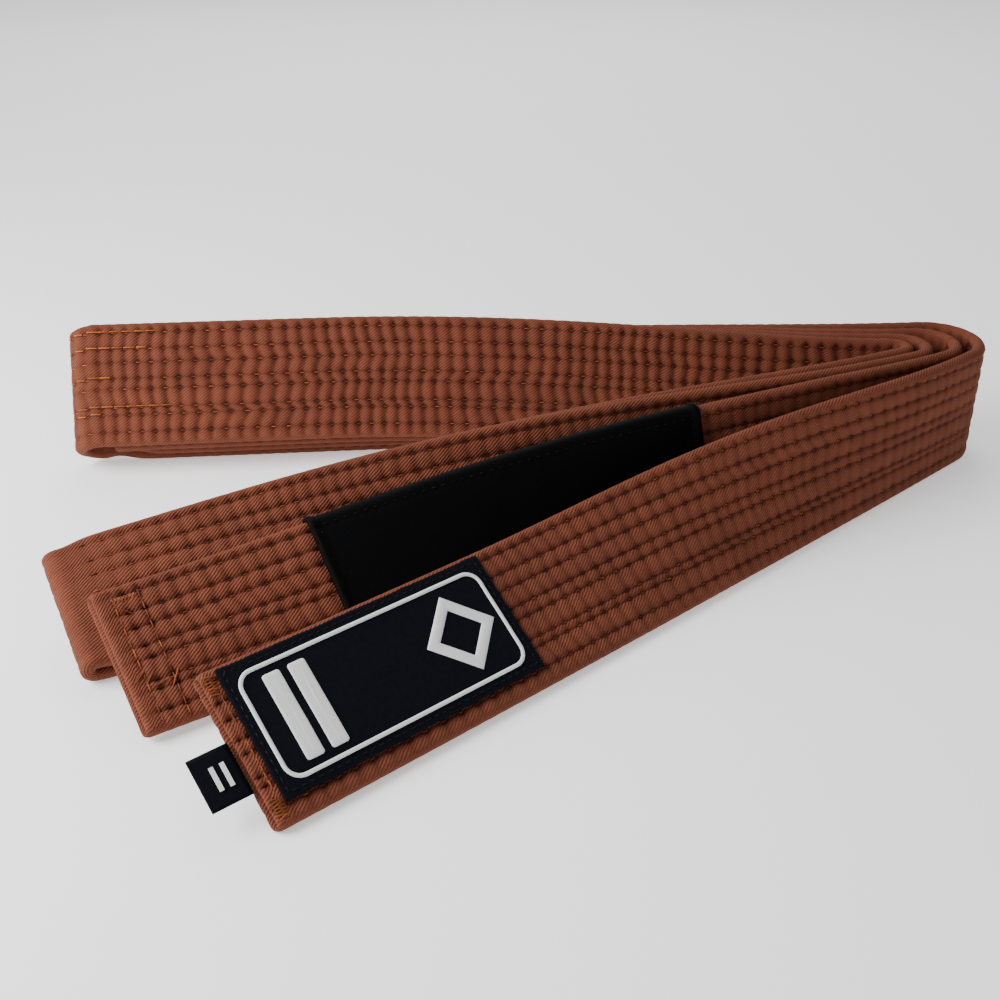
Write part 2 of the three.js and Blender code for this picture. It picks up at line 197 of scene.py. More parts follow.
def sections(x: np.ndarray, y: np.ndarray, heading: np.ndarray, lean: np.ndarray,
             rise: np.ndarray | float = 0.0) -> Run:
    """Cross-sections whose lower edge stands at x, y.

    Args:
        x: place of the lower edge.
        y: place of the lower edge.
        heading: the way the strip runs, in radians.
        lean: how upright the width stands, in radians.
        rise: how far the lower edge is off the table.
    Returns:
        The cross-sections.
    """
    zero = np.zeros_like(heading)
    t = np.stack([np.cos(heading), np.sin(heading), zero], 1)
    e = np.stack([np.sin(heading) * np.cos(lean), -np.cos(heading) * np.cos(lean),
                  np.sin(lean)], 1)
    n = np.cross(t, e)
    half = SECTION.a - SECTION.edge_round
    lift = rise + SECTION.edge_round + (SECTION.b - SECTION.edge_round) * np.cos(lean)
    c = np.stack([x, y, zero], 1) + e * half
    c[:, 2] += lift
    return Run(c, t, e, n)


def arc_run(arc: Arc, start: float, stop: float, to_front: bool, step: float) -> Run:
    """Cross-sections round an upright arc of the bend, from one angle to another."""
    count = max(6, int(abs(math.radians(stop - start)) * (arc.radius + SECTION.b) / step))
    angle = np.radians(np.linspace(start, stop, count + 1))
    quarter = -math.pi / 2 if to_front else math.pi / 2
    return sections(arc.x + arc.radius * np.cos(angle), arc.y + arc.radius * np.sin(angle),
                    angle + quarter, np.full_like(angle, math.pi / 2))


def front_run(arc: Arc, arm: Arm, d: np.ndarray, rise: np.ndarray | float = 0.0) -> Run:
    """Cross-sections of a front pass at distances d from the bend."""
    start = math.radians(arc.exit + 180)
    turn = math.radians(arm.drift) / arm.length
    heading = start + turn * d
    x = arc.x + arc.radius * math.sin(math.radians(arc.exit))
    y = arc.y - arc.radius * math.cos(math.radians(arc.exit))
    x = x + (np.sin(heading) - math.sin(start)) / turn
    y = y - (np.cos(heading) - math.cos(start)) / turn
    lean = np.radians(90 - (90 - arm.lean) * smooth(d / arm.lean_length))
    return sections(x, y, heading, lean, rise)


def back_line(d: np.ndarray) -> Run:
    """Cross-sections of the outermost layer of the back arm at distances d from the bend."""
    a = math.radians(BACK_HEADING)
    x = OUTER.x + OUTER.radius * math.sin(a) + math.cos(a) * d
    y = OUTER.y - OUTER.radius * math.cos(a) + math.sin(a) * d
    lean = np.radians(90 - (90 - BACK_LEAN) * smooth(d / BACK_LEAN_LENGTH))
    return sections(x, y, np.full_like(d, a), lean)


def back_run(arc: Arc, layer: int, length: float, step: float) -> Run:
    """One layer of the back arm, shifted off the outermost one that it lies on."""
    a = math.radians(BACK_HEADING)
    origin = back_line(np.array([0.0]))
    lead = np.array([arc.x + arc.radius * math.sin(a) - origin.c[0, 0],
                     arc.y - arc.radius * math.cos(a) - origin.c[0, 1], 0.0])
    gap_0, ahead = -lead @ origin.n[0], lead @ origin.t[0]
    d = np.linspace(ahead, length, int((length - ahead) / step) + 1)
    gap = gap_0 + (layer * LAYER_PITCH - gap_0) * smooth((d - ahead) / SETTLE_LENGTH)
    slide = BACK_SLIDE * layer * smooth(d / BACK_LEAN_LENGTH)
    run = back_line(d)
    run.c = run.c - run.n * gap[:, None] + run.e * slide[:, None]
    return run


def fold_over(lower: Run, upper: Run, step: float) -> Run:
    """A lower pass, a half turn, and the pass above it met backwards."""
    c, t, e, n = lower.c[-1], lower.t[-1], lower.e[-1], lower.n[-1]
    across = upper.c[-1] - c
    height, slide = -across @ n, across @ e
    count = max(10, int(math.pi * (height / 2 + SECTION.b) / step))
    share = (np.arange(1, count) / count)[:, None]
    angle = math.pi * share
    turn_t = t * np.cos(angle) - n * np.sin(angle)
    turn_c = c + t * height / 2 * np.sin(angle) - n * height / 2 * (1 - np.cos(angle))
    turn_c = turn_c + e * slide * share
    turn_e = np.repeat(e[None], count - 1, 0)
    half = Run(turn_c, turn_t, turn_e, np.cross(turn_t, turn_e))
    return joined(lower, half, upper.turned())


def rank_rise(d: np.ndarray) -> np.ndarray:
    """How far the wall of the rank bar holds its pass off the table."""
    return BAR_RISE * smooth(d / 60)


def label_path(step: float) -> Run:
    """From the splice in the bend to the end with the label."""
    d = np.linspace(0, LABEL_ARM.length, int(LABEL_ARM.length / step) + 1)
    arc = arc_run(OUTER, SPLICE_ANGLE, OUTER.exit - 90, True, step)
    pass_ = front_run(OUTER, LABEL_ARM, d)
    return joined(Run(arc.c[:-1], arc.t[:-1], arc.e[:-1], arc.n[:-1]), pass_)


def rank_path(step: float) -> Run:
    """From the splice in the bend to the plain end."""
    d = np.linspace(0, RANK_ARM.length, int(RANK_ARM.length / step) + 1)
    arc = arc_run(THIRD, SPLICE_ANGLE, THIRD.exit - 90, True, step)
    pass_ = front_run(THIRD, RANK_ARM, d, rank_rise(d))
    return joined(Run(arc.c[:-1], arc.t[:-1], arc.e[:-1], arc.n[:-1]), pass_)


def fold_path(step: float) -> Run:
    """From the bend, along the front, round the fold at the tip and back to the bend."""
    lower_d = np.linspace(0, FOLD_ARM.length, int(FOLD_ARM.length / step) + 1)
    lower = front_run(INNER, FOLD_ARM, lower_d)
    zero = np.array([0.0])
    lead = front_run(SECOND, FOLD_ARM, zero).c[0] - lower.c[0]
    gap_0, ahead = -lead @ lower.n[0], lead @ lower.t[0]
    d = np.linspace(ahead, FOLD_ARM.length, int((FOLD_ARM.length - ahead) / step) + 1)
    gap = gap_0 + (LAYER_PITCH - gap_0) * smooth((d - ahead) / SETTLE_LENGTH)
    upper = front_run(INNER, FOLD_ARM, d)
    upper.c = upper.c - upper.n * gap[:, None]
    first = arc_run(INNER, SPLICE_ANGLE, INNER.exit - 90, True, step)
    last = arc_run(SECOND, SPLICE_ANGLE, SECOND.exit - 90, True, step)
    trim = [Run(r.c[:-1], r.t[:-1], r.e[:-1], r.n[:-1]) for r in (first, last)]
    return fold_over(joined(trim[0], lower), joined(trim[1], upper), step)


def back_path(lower: tuple[Arc, int], upper: tuple[Arc, int], length: float, step: float) -> Run:
    """A pair of back layers, joined by their fold at the left."""
    halves = []
    for arc, layer in (lower, upper):
        bend = arc_run(arc, SPLICE_ANGLE, BACK_HEADING - 90, False, step)
        bend = Run(bend.c[:-1], bend.t[:-1], bend.e[:-1], bend.n[:-1])
        halves.append(joined(bend, back_run(arc, layer, length, step)))
    return fold_over(halves[0], halves[1], step)


# ---------------------------------------------------------------- quilting


def ripple(u: np.ndarray, v: np.ndarray, size: float, seed: int, waves: int = 7) -> np.ndarray:
    """Smooth unevenness made of a few seeded waves, about -1 to 1.

    Args:
        u: distance along the cloth.
        v: distance across the cloth.
        size: typical length of a wave.
        seed: fixes the directions, lengths and phases.
        waves: how many waves are added.
    Returns:
        The height at each point.
    """
    rng = np.random.default_rng(seed)
    total = np.zeros(np.broadcast(u, v).shape)
    for _ in range(waves):
        angle, length = rng.uniform(0, math.pi), size * rng.uniform(0.6, 1.7)
        phase = rng.uniform(0, 2 * math.pi)
        total += np.sin(2 * math.pi * (u * math.cos(angle) + v * math.sin(angle)) / length + phase)
    return total / math.sqrt(waves)


@dataclass(frozen=True)
class Quilting:
    """How the lengthwise stitch rows pull the cover in, and how it puffs up between them."""

    section: Section = SECTION
    seed: int = 7
    puff: float = 0.85
    rib: float = 0.8
    pinch: float = 0.62
    row_half_width: float = 0.75
    sink: float = 0.62
    shared_wave: float = 97.0
    carry: float = 0.5
    rib_width: float = 0.8
    valley_width: float = 1.15
    crown_power: float = 0.55
    flat_crown: float = 0.42
    full_gap: float = 8.0
    far: float = 99.0

    def phase(self, row: int, u: np.ndarray) -> np.ndarray:
        """Where a row's stitches fall, as a share of the pitch, drifting slowly along the belt."""
        rng = np.random.default_rng(self.seed + 31 * row)
        shift = rng.uniform(-0.07, 0.07)
        waves = [(rng.uniform(45, 90), rng.uniform(0, 6.3), 0.05),
                 (rng.uniform(150, 320), rng.uniform(0, 6.3), 0.16),
                 (self.shared_wave, 0.0, 0.3)]
        total = np.full_like(u, shift)
        for length, start, size in waves:
            total = total + size * np.sin(2 * math.pi * u / length + start)
        return total

    def stitches(self, row: int, low: float, high: float) -> np.ndarray:
        """Distances along the belt of a row's stitches between two limits."""
        pitch = self.section.pitch
        count = np.arange(math.floor(low / pitch) - 2, math.ceil(high / pitch) + 3)
        u = count * pitch
        for _ in range(6):
            u = pitch * (count - self.phase(row, u))
        return u[(u > low) & (u < high)]

    def relief(self, u: np.ndarray, e: np.ndarray, side: int) -> np.ndarray:
        """Height of the cloth over the flat face.

        Args:
            u: distances along the belt, one for each cross-section.
            e: distances across the width, one for each corner of the outline.
            side: which face, so that the two faces don't wrinkle alike.
        Returns:
            Heights in millimetres, a row for each cross-section.
        """
        lines = self.section.row_lines()
        edges = np.concatenate([[-self.section.a - 1.0], lines, [self.section.a + 1.0]])
        pitch = self.section.pitch
        phases = [self.phase(k, u) for k in range(len(lines))]
        phases = [phases[0], *phases, phases[-1]]
        height = np.zeros((len(u), len(e)))
        for j, across in enumerate(e):
            k = int(np.clip(np.searchsorted(edges, across) - 1, 0, len(edges) - 2))
            gap = edges[k + 1] - edges[k]
            x = (across - edges[k]) / gap
            mix = smooth(x)
            share = u / pitch + phases[k] * (1 - mix) + phases[k + 1] * mix
            off = share - np.round(share)
            ribs = 0.5 * (0.5 - 0.5 * np.cos(2 * math.pi * off))
            ribs = ribs + 0.5 * (1 - np.exp(-((off * pitch / self.rib_width) ** 2)))
            crown = (4 * x * (1 - x)) ** self.crown_power
            crown = crown * min(1.0, self.flat_crown + gap / self.full_gap)
            valley = np.exp(-((off * pitch / self.valley_width) ** 2))
            below = across - edges[k] if k > 0 else self.far
            above = edges[k + 1] - across if k < len(edges) - 2 else self.far
            near = min(below, above)
            line = math.exp(-((near / self.row_half_width) ** 2))
            between = self.carry * line * (1 - valley)
            height[:, j] = self.puff * (crown * (1 - self.rib + self.rib * ribs) + between)
            height[:, j] -= line * self.pinch * (0.2 + 0.8 * valley)
        height += 0.05 * ripple(u[:, None], e[None, :], 11.0, self.seed + 100 + side)
        height += 0.035 * ripple(u[:, None], e[None, :], 4.0, self.seed + 200 + side)
        return height - self.sink


QUILT = Quilting()
SOFT_QUILT = Quilting(puff=0.8, rib=0.42, pinch=0.58, sink=0.58, carry=0.22)


@dataclass
class Outline:
    """Closed outline of the belt's section, from the face at -n round to the face at +n."""

    e: np.ndarray
    n: np.ndarray
    out_e: np.ndarray
    out_n: np.ndarray
    face: np.ndarray
    v: np.ndarray

    @classmethod
    def make(cls, fine_low: bool, fine_high: bool, edge_steps: int = 8) -> "Outline":
        """Builds the outline.

        Args:
            fine_low: whether the face at -n is divided finely enough for its quilting.
            fine_high: the same for the face at +n.
            edge_steps: steps round each rounded edge.
        Returns:
            The outline.
        """
        a, b, r = SECTION.a, SECTION.b, SECTION.edge_round
        low, high = cls.columns(fine_low), cls.columns(fine_high)
        angle = np.linspace(-math.pi / 2, math.pi / 2, edge_steps + 1)[1:-1]
        arc = (angle + math.pi / 2) / math.pi * 6.4
        back = np.minimum(arc, 6.4 - arc)
        e = [low, a - r + r * np.cos(angle), high[::-1], -(a - r) - r * np.cos(angle)]
        n = [np.full(len(low), -b), b * np.sin(angle), np.full(len(high), b), -b * np.sin(angle)]
        out_e = [np.zeros(len(low)), np.cos(angle), np.zeros(len(high)), -np.cos(angle)]
        out_n = [-np.ones(len(low)), np.sin(angle), np.ones(len(high)), -np.sin(angle)]
        face = [np.ones(len(low)), 0.25 + 0 * angle, np.ones(len(high)), 0.25 + 0 * angle]
        v = [low, a - r + back, high[::-1], -(a - r) - back]
        return cls(*[np.concatenate(x) for x in (e, n, out_e, out_n, face, v)])

    @staticmethod
    def columns(fine: bool) -> np.ndarray:
        """Corners across one face."""
        reach = SECTION.a - SECTION.edge_round
        if not fine:
            return np.linspace(-reach, reach, 12)
        lines = SECTION.row_lines()
        fixed = np.concatenate([lines, lines - 0.55, lines + 0.55, [-reach, reach]])
        grid = [x for x in np.linspace(-reach, reach, 46) if np.min(np.abs(fixed - x)) > 0.35]
        every = np.sort(np.concatenate([fixed, grid]))
        every = every[(every >= -reach) & (every <= reach)]
        keep = [every[0]]
        for x in every[1:]:
            if x - keep[-1] > 0.3:
                keep.append(x)
        keep[-1] = reach
        return np.array(keep)


# ---------------------------------------------------------------- meshes


def write_mesh(name: str, points: np.ndarray, quads: np.ndarray, caps: list[np.ndarray],
               uv: np.ndarray | None = None, relief: np.ndarray | None = None) -> bpy.types.Object:
    """Writes a mesh in metres and links its object.

    Args:
        name: the piece's name.
        points: corners in millimetres, in the bend's coordinates.
        quads: four corner numbers for each face.
        caps: corner numbers of each flat end.
        uv: for each corner of each quad, its place on the cloth in metres.
        relief: for each corner, 0 in a pinched place to 1 on a crown; it sets the cloth's painted
            shade and painted light.
    Returns:
        The object, at the origin.
    """
    mesh = bpy.data.meshes.new(name)
    faces = [tuple(q) for q in quads.tolist()] + [tuple(c.tolist()) for c in caps]
    mesh.from_pydata(((points + SHIFT) * MM).tolist(), [], faces)
    smooth_flags = np.ones(len(faces), bool)
    if caps:
        smooth_flags[len(quads):] = False
    mesh.polygons.foreach_set("use_smooth", smooth_flags)
    layer = mesh.uv_layers.new(name="cloth")
    flat = np.zeros((len(mesh.loops), 2))
    if uv is not None:
        flat[: len(uv)] = uv
    layer.data.foreach_set("uv", flat.ravel())
    values = np.full(len(points), 0.5) if relief is None else relief
    attribute = mesh.attributes.new("relief", "FLOAT", "POINT")
    attribute.data.foreach_set("value", values.astype(np.float32))
    mesh.validate()
    mesh.update()
    obj = bpy.data.objects.new(name, mesh)
    bpy.context.scene.collection.objects.link(obj)
    return obj


def tube_faces(rings: int, count: int, loop: bool = False) -> np.ndarray:
    """Quads of a tube of rings, closed round and, if loop is set, closed lengthwise too."""
    i = np.arange(rings if loop else rings - 1)[:, None]
    k = np.arange(count)[None, :]
    nxt, ahead = (k + 1) % count, (i + 1) % rings
    quads = np.stack(np.broadcast_arrays(i * count + k, i * count + nxt, ahead * count + nxt,
                                         ahead * count + k), -1)
    return quads.reshape(-1, 4)


class Face(Enum):
    """The two faces of a pass, by the way they point along its normal."""

    LOW = -1
    HIGH = 1


Skip = Callable[[np.ndarray, float, Face], np.ndarray]


@dataclass
class Strip:
    """A length of quilted belt.

    u_start and u_sign place it on the whole belt, so that the quilting runs on over a splice.
    """

    name: str
    run: Run
    u_start: float
    u_sign: int
    step: float
    fine: tuple[Face, ...]
    free_end: bool = False
    cross_rows: tuple[float, ...] = ()
    quilting: Quilting = field(default_factory=lambda: QUILT)
    calm: tuple[tuple[float, float, float], ...] = ()
    fold_inset: float = 1.5
    fold_reach: float = 6.0
    lip_lag: float = 0.7
    lips: tuple[tuple[float, float, float], ...] = (
        (0.4, 0.99, 0.1), (0.9, 0.92, 0.3), (1.3, 0.80, 0.5), (1.5, 0.62, 0.7),
        (1.4, 0.42, 0.9), (1.0, 0.24, 1.1), (0.2, 0.12, 1.3), (-1.2, 0.05, 1.5),
    )

    def length(self) -> float:
        """Length of the middle line."""
        return float(self.run.along()[-1])

    def strength(self, s: np.ndarray) -> np.ndarray:
        """How strongly the quilting shows: less where the cloth is drawn over a bend."""
        total = np.ones_like(s)
        for middle, reach, keep in self.calm:
            total *= 1 - (1 - keep) * np.exp(-(((s - middle) / reach) ** 2))
        if self.cross_rows:
            hem = self.length() - s
            total *= 0.25 + 0.75 * smooth((hem - self.cross_rows[0] + 1) / 3)
        return total

    def heights(self, s: np.ndarray, e: np.ndarray, side: int) -> np.ndarray:
        """Relief of one face at cross-sections s and places e."""
        u = self.u_start + self.u_sign * s
        height = self.quilting.relief(u, e, side) * self.strength(s)[:, None]
        for inset in self.cross_rows:
            near = np.exp(-(((s - (self.length() - inset)) / 0.75) ** 2))[:, None]
            cross = np.abs(np.cos(math.pi * e / 3.4))[None, :] ** 6
            height = height - near * (0.22 + 0.3 * cross)
        return np.maximum(height, -1.1)

    def build(self) -> bpy.types.Object:
        """Makes the mesh of the quilted cloth with its closed ends."""
        outline = Outline.make(Face.LOW in self.fine, Face.HIGH in self.fine)
        total = self.length()
        s = np.linspace(0, total, int(total / self.step) + 1)
        run = self.run.at(s)
        height = np.zeros((len(s), len(outline.e)))
        for side in Face:
            mine = outline.out_n * side.value >= 0
            height[:, mine] = self.heights(s, outline.e[mine], side.value)
        edge = outline.face < 1
        height[:, edge] = np.minimum(height[:, edge] * outline.face[edge], 0.0)
        pulled = np.zeros(len(s))
        if not self.free_end:
            pulled = self.fold_inset * np.exp(-(((s - total / 2) / self.fold_reach) ** 2))
        scale, inset, run, s, height = self.ends(run, s, height, pulled)
        e = outline.e[None] * (1 - inset[:, None] / SECTION.a) + outline.out_e[None] * height
        n = (outline.n[None] + outline.out_n[None] * height) * scale[:, None]
        points = (run.c[:, None] + run.e[:, None] * e[..., None] + run.n[:, None] * n[..., None])
        if self.free_end:
            near = smooth((s - total + 2.5) / 2.5)
            lag = near[:, None] * self.lip_lag * n / SECTION.b
            points = points + run.t[:, None] * lag[..., None]
        count = len(outline.e)
        quads = tube_faces(len(s), count)
        caps = [np.arange(count)[::-1], (len(s) - 1) * count + np.arange(count)]
        # sets where the cloth gets painted shade in pinched places and painted light on the crowns
        relief = np.clip((height + 0.95) / 1.1, 0, 1)
        return write_mesh(self.name, points.reshape(-1, 3), quads, caps,
                          self.cloth_uv(outline, s), relief.ravel())

    def ends(self, run: Run, s: np.ndarray, height: np.ndarray, inset: np.ndarray) -> tuple:
        """Adds the lips of a free end, where the cover is folded in from both faces."""
        scale = np.ones(len(s))
        if not self.free_end:
            return scale, inset, run, s, height
        ahead, thin, narrow = (np.array(x) for x in zip(*self.lips))
        last = Run(*(np.repeat(x[-1:], len(ahead), 0) for x in (run.c, run.t, run.e, run.n)))
        last.c = last.c + last.t * ahead[:, None]
        calm = height[-1:] * np.linspace(0.8, 0.0, len(ahead))[:, None]
        s = np.concatenate([s, s[-1] + np.linspace(0.5, 3.5, len(ahead))])
        return (np.concatenate([scale, thin]), np.concatenate([inset, narrow]),
                joined(run, last), s, np.concatenate([height, calm]))

    @staticmethod
    def cloth_uv(outline: Outline, s: np.ndarray) -> np.ndarray:
        """Place on the cloth, in metres, for each corner of each quad; x grows to the right
        as each face is seen from outside with its upper edge up."""
        count = len(outline.e)
        nxt = (np.arange(count) + 1) % count
        side = np.where(outline.n + outline.n[nxt] >= 0, 1.0, -1.0)
        i = np.arange(len(s) - 1)
        u = np.stack([np.outer(s[i], side), np.outer(s[i], side), np.outer(s[i + 1], side),
                      np.outer(s[i + 1], side)], -1)
        v = np.broadcast_to(np.stack([outline.v, outline.v[nxt], outline.v[nxt], outline.v], -1),
                            u.shape)
        return np.stack([u, v], -1).reshape(-1, 2) * MM

    def stitch_points(self, faces: tuple[Face, ...], skip: Skip) -> "Points":
        """Where the stitches of the lengthwise rows sit.

        Args:
            faces: which faces get them.
            skip: tells, for distances s, a row's place e and a face, which stitches to leave out.
        Returns:
            Places, directions and sizes for the stitches.
        """
        points = Points()
        total = self.length()
        low, high = sorted((self.u_start, self.u_start + self.u_sign * total))
        for row, e in enumerate(SECTION.row_lines()):
            u = self.quilting.stitches(row, low + 1, high - (3 if self.free_end else 1))
            s = (u - self.u_start) * self.u_sign
            for side in faces:
                mine = s[~skip(s, e, side)]
                if len(mine) == 0:
                    continue
                run = self.run.at(mine)
                rise = np.array([self.heights(np.array([x]), np.array([e]), side.value)[0, 0]
                                 for x in mine])
                lift = SECTION.b + rise + 0.26
                c = run.c + run.e * e + run.n * (side.value * lift)[:, None]
                points.add(c, run.t, run.n * side.value, np.ones(len(mine)))
        return points


@dataclass
class Points:
    """Places for stitches: middle, the way each runs, the way it faces, and its stretch."""

    c: list[np.ndarray] = field(default_factory=list)
    t: list[np.ndarray] = field(default_factory=list)
    n: list[np.ndarray] = field(default_factory=list)
    stretch: list[np.ndarray] = field(default_factory=list)

    def add(self, c: np.ndarray, t: np.ndarray, n: np.ndarray, stretch: np.ndarray) -> None:
        """Adds a row of places."""
        for mine, new in ((self.c, c), (self.t, t), (self.n, n), (self.stretch, stretch)):
            mine.append(new)


# ---------------------------------------------------------------- node helper


def linear(hex_colour: str) -> tuple[float, float, float, float]:
    """Turns an sRGB hex colour to linear light."""
    parts = [int(hex_colour[i:i + 2], 16) / 255 for i in (1, 3, 5)]
    values = [p / 12.92 if p <= 0.04045 else ((p + 0.055) / 1.055) ** 2.4 for p in parts]
    return (*values, 1.0)


def add(tree: bpy.types.NodeTree, kind: str, sockets: dict | None = None,
        **settings: object) -> bpy.types.Node:
    """Adds a node to a tree.

    Args:
        tree: the node tree.
        kind: the node's type.
        sockets: values for inputs, or outputs of other nodes to link to them.
        settings: the node's own properties.
    Returns:
        The node.
    """
    node = tree.nodes.new(kind)
    for key, value in settings.items():
        setattr(node, key, value)
    for key, value in (sockets or {}).items():
        socket = node.inputs[key]
        if isinstance(value, bpy.types.NodeSocket):
            tree.links.new(value, socket)
        else:
            socket.default_value = value
    return node


def cloth_height(tree: bpy.types.NodeTree, pitch: float, angle: float) -> tuple:
    """Diagonal lines of a weave on the cloth's own coordinates.

    Args:
        tree: the material's tree.
        pitch: distance from one line to the next, in millimetres.
        angle: how the lines slope, in degrees, as each face is seen from outside.
    Returns:
        The lines' height from 0 to 1, and the cloth coordinates.
    """
    uv = add(tree, "ShaderNodeUVMap", uv_map="cloth").outputs["UV"]
    waver = add(tree, "ShaderNodeTexNoise", {"Vector": uv, "Scale": 420.0, "Detail": 2.0})
    a = math.radians(angle)
    across = (-math.sin(a) / (pitch * MM), math.cos(a) / (pitch * MM), 0.0)
    line = add(tree, "ShaderNodeVectorMath", {0: uv, 1: across}, operation="DOT_PRODUCT")
    wobble = add(tree, "ShaderNodeMath", {0: waver.outputs[0], 1: 0.7, 2: line.outputs["Value"]},
                 operation="MULTIPLY_ADD")
    turn = add(tree, "ShaderNodeMath", {0: wobble.outputs[0], 1: 2 * math.pi},
               operation="MULTIPLY")
    wave = add(tree, "ShaderNodeMath", {0: turn.outputs[0]}, operation="SINE")
    up = add(tree, "ShaderNodeMath", {0: wave.outputs[0], 1: 0.5, 2: 0.5},
             operation="MULTIPLY_ADD")
    return up.outputs[0], uv


def shader(name: str) -> tuple[bpy.types.Material, bpy.types.NodeTree, bpy.types.Node]:
    """An empty material with its tree and its main shader."""
    material = bpy.data.materials.new(name)
    material.use_nodes = True
    tree = material.node_tree
    return material, tree, tree.nodes["Principled BSDF"]


@dataclass(frozen=True)
class QuiltedTwill:
    """Dyed cotton drill: a matt cloth with fine slanting ridges, with painted light that makes it
    paler on its crowns and painted shade that makes it darker where stitches pull it in."""

    name: str = "brown_cotton_drill"
    # painted shade in the pinched valleys; crown is the cloth's colour with painted light on the
    # crowns
    painted_valley_shade: str = "#210e07"
    middle: str = "#643121"
    crown: str = "#78412e"
    ridge_pitch: float = 0.84  # a real drill has about 0.6 mm; coarser so that it shows
    ridge_angle: float = 36.0
    roughness: float = 0.88

    def build(self) -> bpy.types.Material:
        """Makes the material."""
        material, tree, main = shader(self.name)
        ridge, uv = cloth_height(tree, self.ridge_pitch, self.ridge_angle)
        relief = add(tree, "ShaderNodeAttribute", attribute_name="relief").outputs["Fac"]
        # painted shade and light: the colour runs from painted shade where stitches pinch to painted
        # light on the crowns
        relief_shade_ramp = add(tree, "ShaderNodeValToRGB", {"Fac": relief})
        relief_shade_ramp.color_ramp.elements[0].color = linear(self.painted_valley_shade)
        relief_shade_ramp.color_ramp.elements[1].color = linear(self.crown)
        middle = relief_shade_ramp.color_ramp.elements.new(0.46)
        middle.color = linear(self.middle)
        patchy = add(tree, "ShaderNodeTexNoise", {"Vector": uv, "Scale": 55.0, "Detail": 4.0,
                                                  "Roughness": 0.6})
        yarn = add(tree, "ShaderNodeTexNoise", {"Vector": uv, "Scale": 1900.0, "Detail": 1.0})
        tone = add(tree, "ShaderNodeMapRange", {"Value": patchy.outputs[0], "From Min": 0.3,
                                                "From Max": 0.7, "To Min": 0.88, "To Max": 1.12})
        grain = add(tree, "ShaderNodeMapRange", {"Value": yarn.outputs[0], "From Min": 0.25,
                                                 "From Max": 0.75, "To Min": 0.86, "To Max": 1.14})
        line = add(tree, "ShaderNodeMapRange", {"Value": ridge, "To Min": 0.74, "To Max": 1.16})
        both = add(tree, "ShaderNodeMath", {0: tone.outputs[0], 1: line.outputs[0]},
                   operation="MULTIPLY")
        three = add(tree, "ShaderNodeMath", {0: both.outputs[0], 1: grain.outputs[0]},
                    operation="MULTIPLY")
        colour = add(tree, "ShaderNodeVectorMath", {0: relief_shade_ramp.outputs["Color"]},
                     operation="SCALE")
        tree.links.new(three.outputs[0], colour.inputs["Scale"])
        height = add(tree, "ShaderNodeMath", {0: yarn.outputs[0], 1: 0.5, 2: ridge},
                     operation="MULTIPLY_ADD")
        bump = add(tree, "ShaderNodeBump", {"Height": height.outputs[0], "Strength": 0.9,
                                            "Distance": 0.00022})
        tree.links.new(colour.outputs[0], main.inputs["Base Color"])
        tree.links.new(bump.outputs[0], main.inputs["Normal"])
        main.inputs["Roughness"].default_value = self.roughness
        main.inputs["Specular IOR Level"].default_value = 0.18
        main.inputs["Sheen Weight"].default_value = 0.06
        main.inputs["Sheen Roughness"].default_value = 0.5
        main.inputs["Sheen Tint"].default_value = linear("#c98f70")
        return material


@dataclass(frozen=True)
class PlainCloth:
    """A single-coloured woven cloth with a fine rib, such as a label damask or a black cotton."""

    name: str
    colour: str
    pale: str
    rib_pitch: float
    angle: float
    roughness: float
    sheen: float
    depth: float = 0.0001

    def build(self) -> bpy.types.Material:
        """Makes the material."""
        material, tree, main = shader(self.name)
        rib, uv = cloth_height(tree, self.rib_pitch, self.angle)
        mottle = add(tree, "ShaderNodeTexNoise", {"Vector": uv, "Scale": 700.0, "Detail": 4.0})
        blend = add(tree, "ShaderNodeMath", {0: mottle.outputs[0], 1: rib}, operation="MULTIPLY")
        mix = add(tree, "ShaderNodeMix", {"Factor": blend.outputs[0], "A": linear(self.colour),
                                          "B": linear(self.pale)}, data_type="RGBA")
        bump = add(tree, "ShaderNodeBump", {"Height": blend.outputs[0], "Strength": 0.6,
                                            "Distance": self.depth})
        tree.links.new(mix.outputs["Result"], main.inputs["Base Color"])
        tree.links.new(bump.outputs[0], main.inputs["Normal"])
        main.inputs["Roughness"].default_value = self.roughness
        main.inputs["Specular IOR Level"].default_value = 0.07
        main.inputs["Sheen Weight"].default_value = self.sheen
        return material


@dataclass(frozen=True)
class SewingThread:
    """Twisted polyester thread: a slight gloss, and each stitch a little different in tone."""

    name: str
    dull: str
    bright: str
    roughness: float = 0.55

    def build(self) -> bpy.types.Material:
        """Makes the material."""
        material, tree, main = shader(self.name)
        shade = add(tree, "ShaderNodeAttribute", attribute_name="shade").outputs["Fac"]
        place = add(tree, "ShaderNodeTexCoord").outputs["Object"]
        twist = add(tree, "ShaderNodeTexNoise", {"Vector": place, "Scale": 3500.0})
        rare = add(tree, "ShaderNodeMath", {0: shade, 1: 1.7}, operation="POWER")
        mix = add(tree, "ShaderNodeMix", {"Factor": rare.outputs[0], "A": linear(self.dull),
                                          "B": linear(self.bright)}, data_type="RGBA")
        bump = add(tree, "ShaderNodeBump", {"Height": twist.outputs[0], "Strength": 0.5,
                                            "Distance": 0.0001})
        tree.links.new(mix.outputs["Result"], main.inputs["Base Color"])
        tree.links.new(bump.outputs[0], main.inputs["Normal"])
        main.inputs["Roughness"].default_value = self.roughness
        main.inputs["Specular IOR Level"].default_value = 0.2
        return material


# ---------------------------------------------------------------- stitches


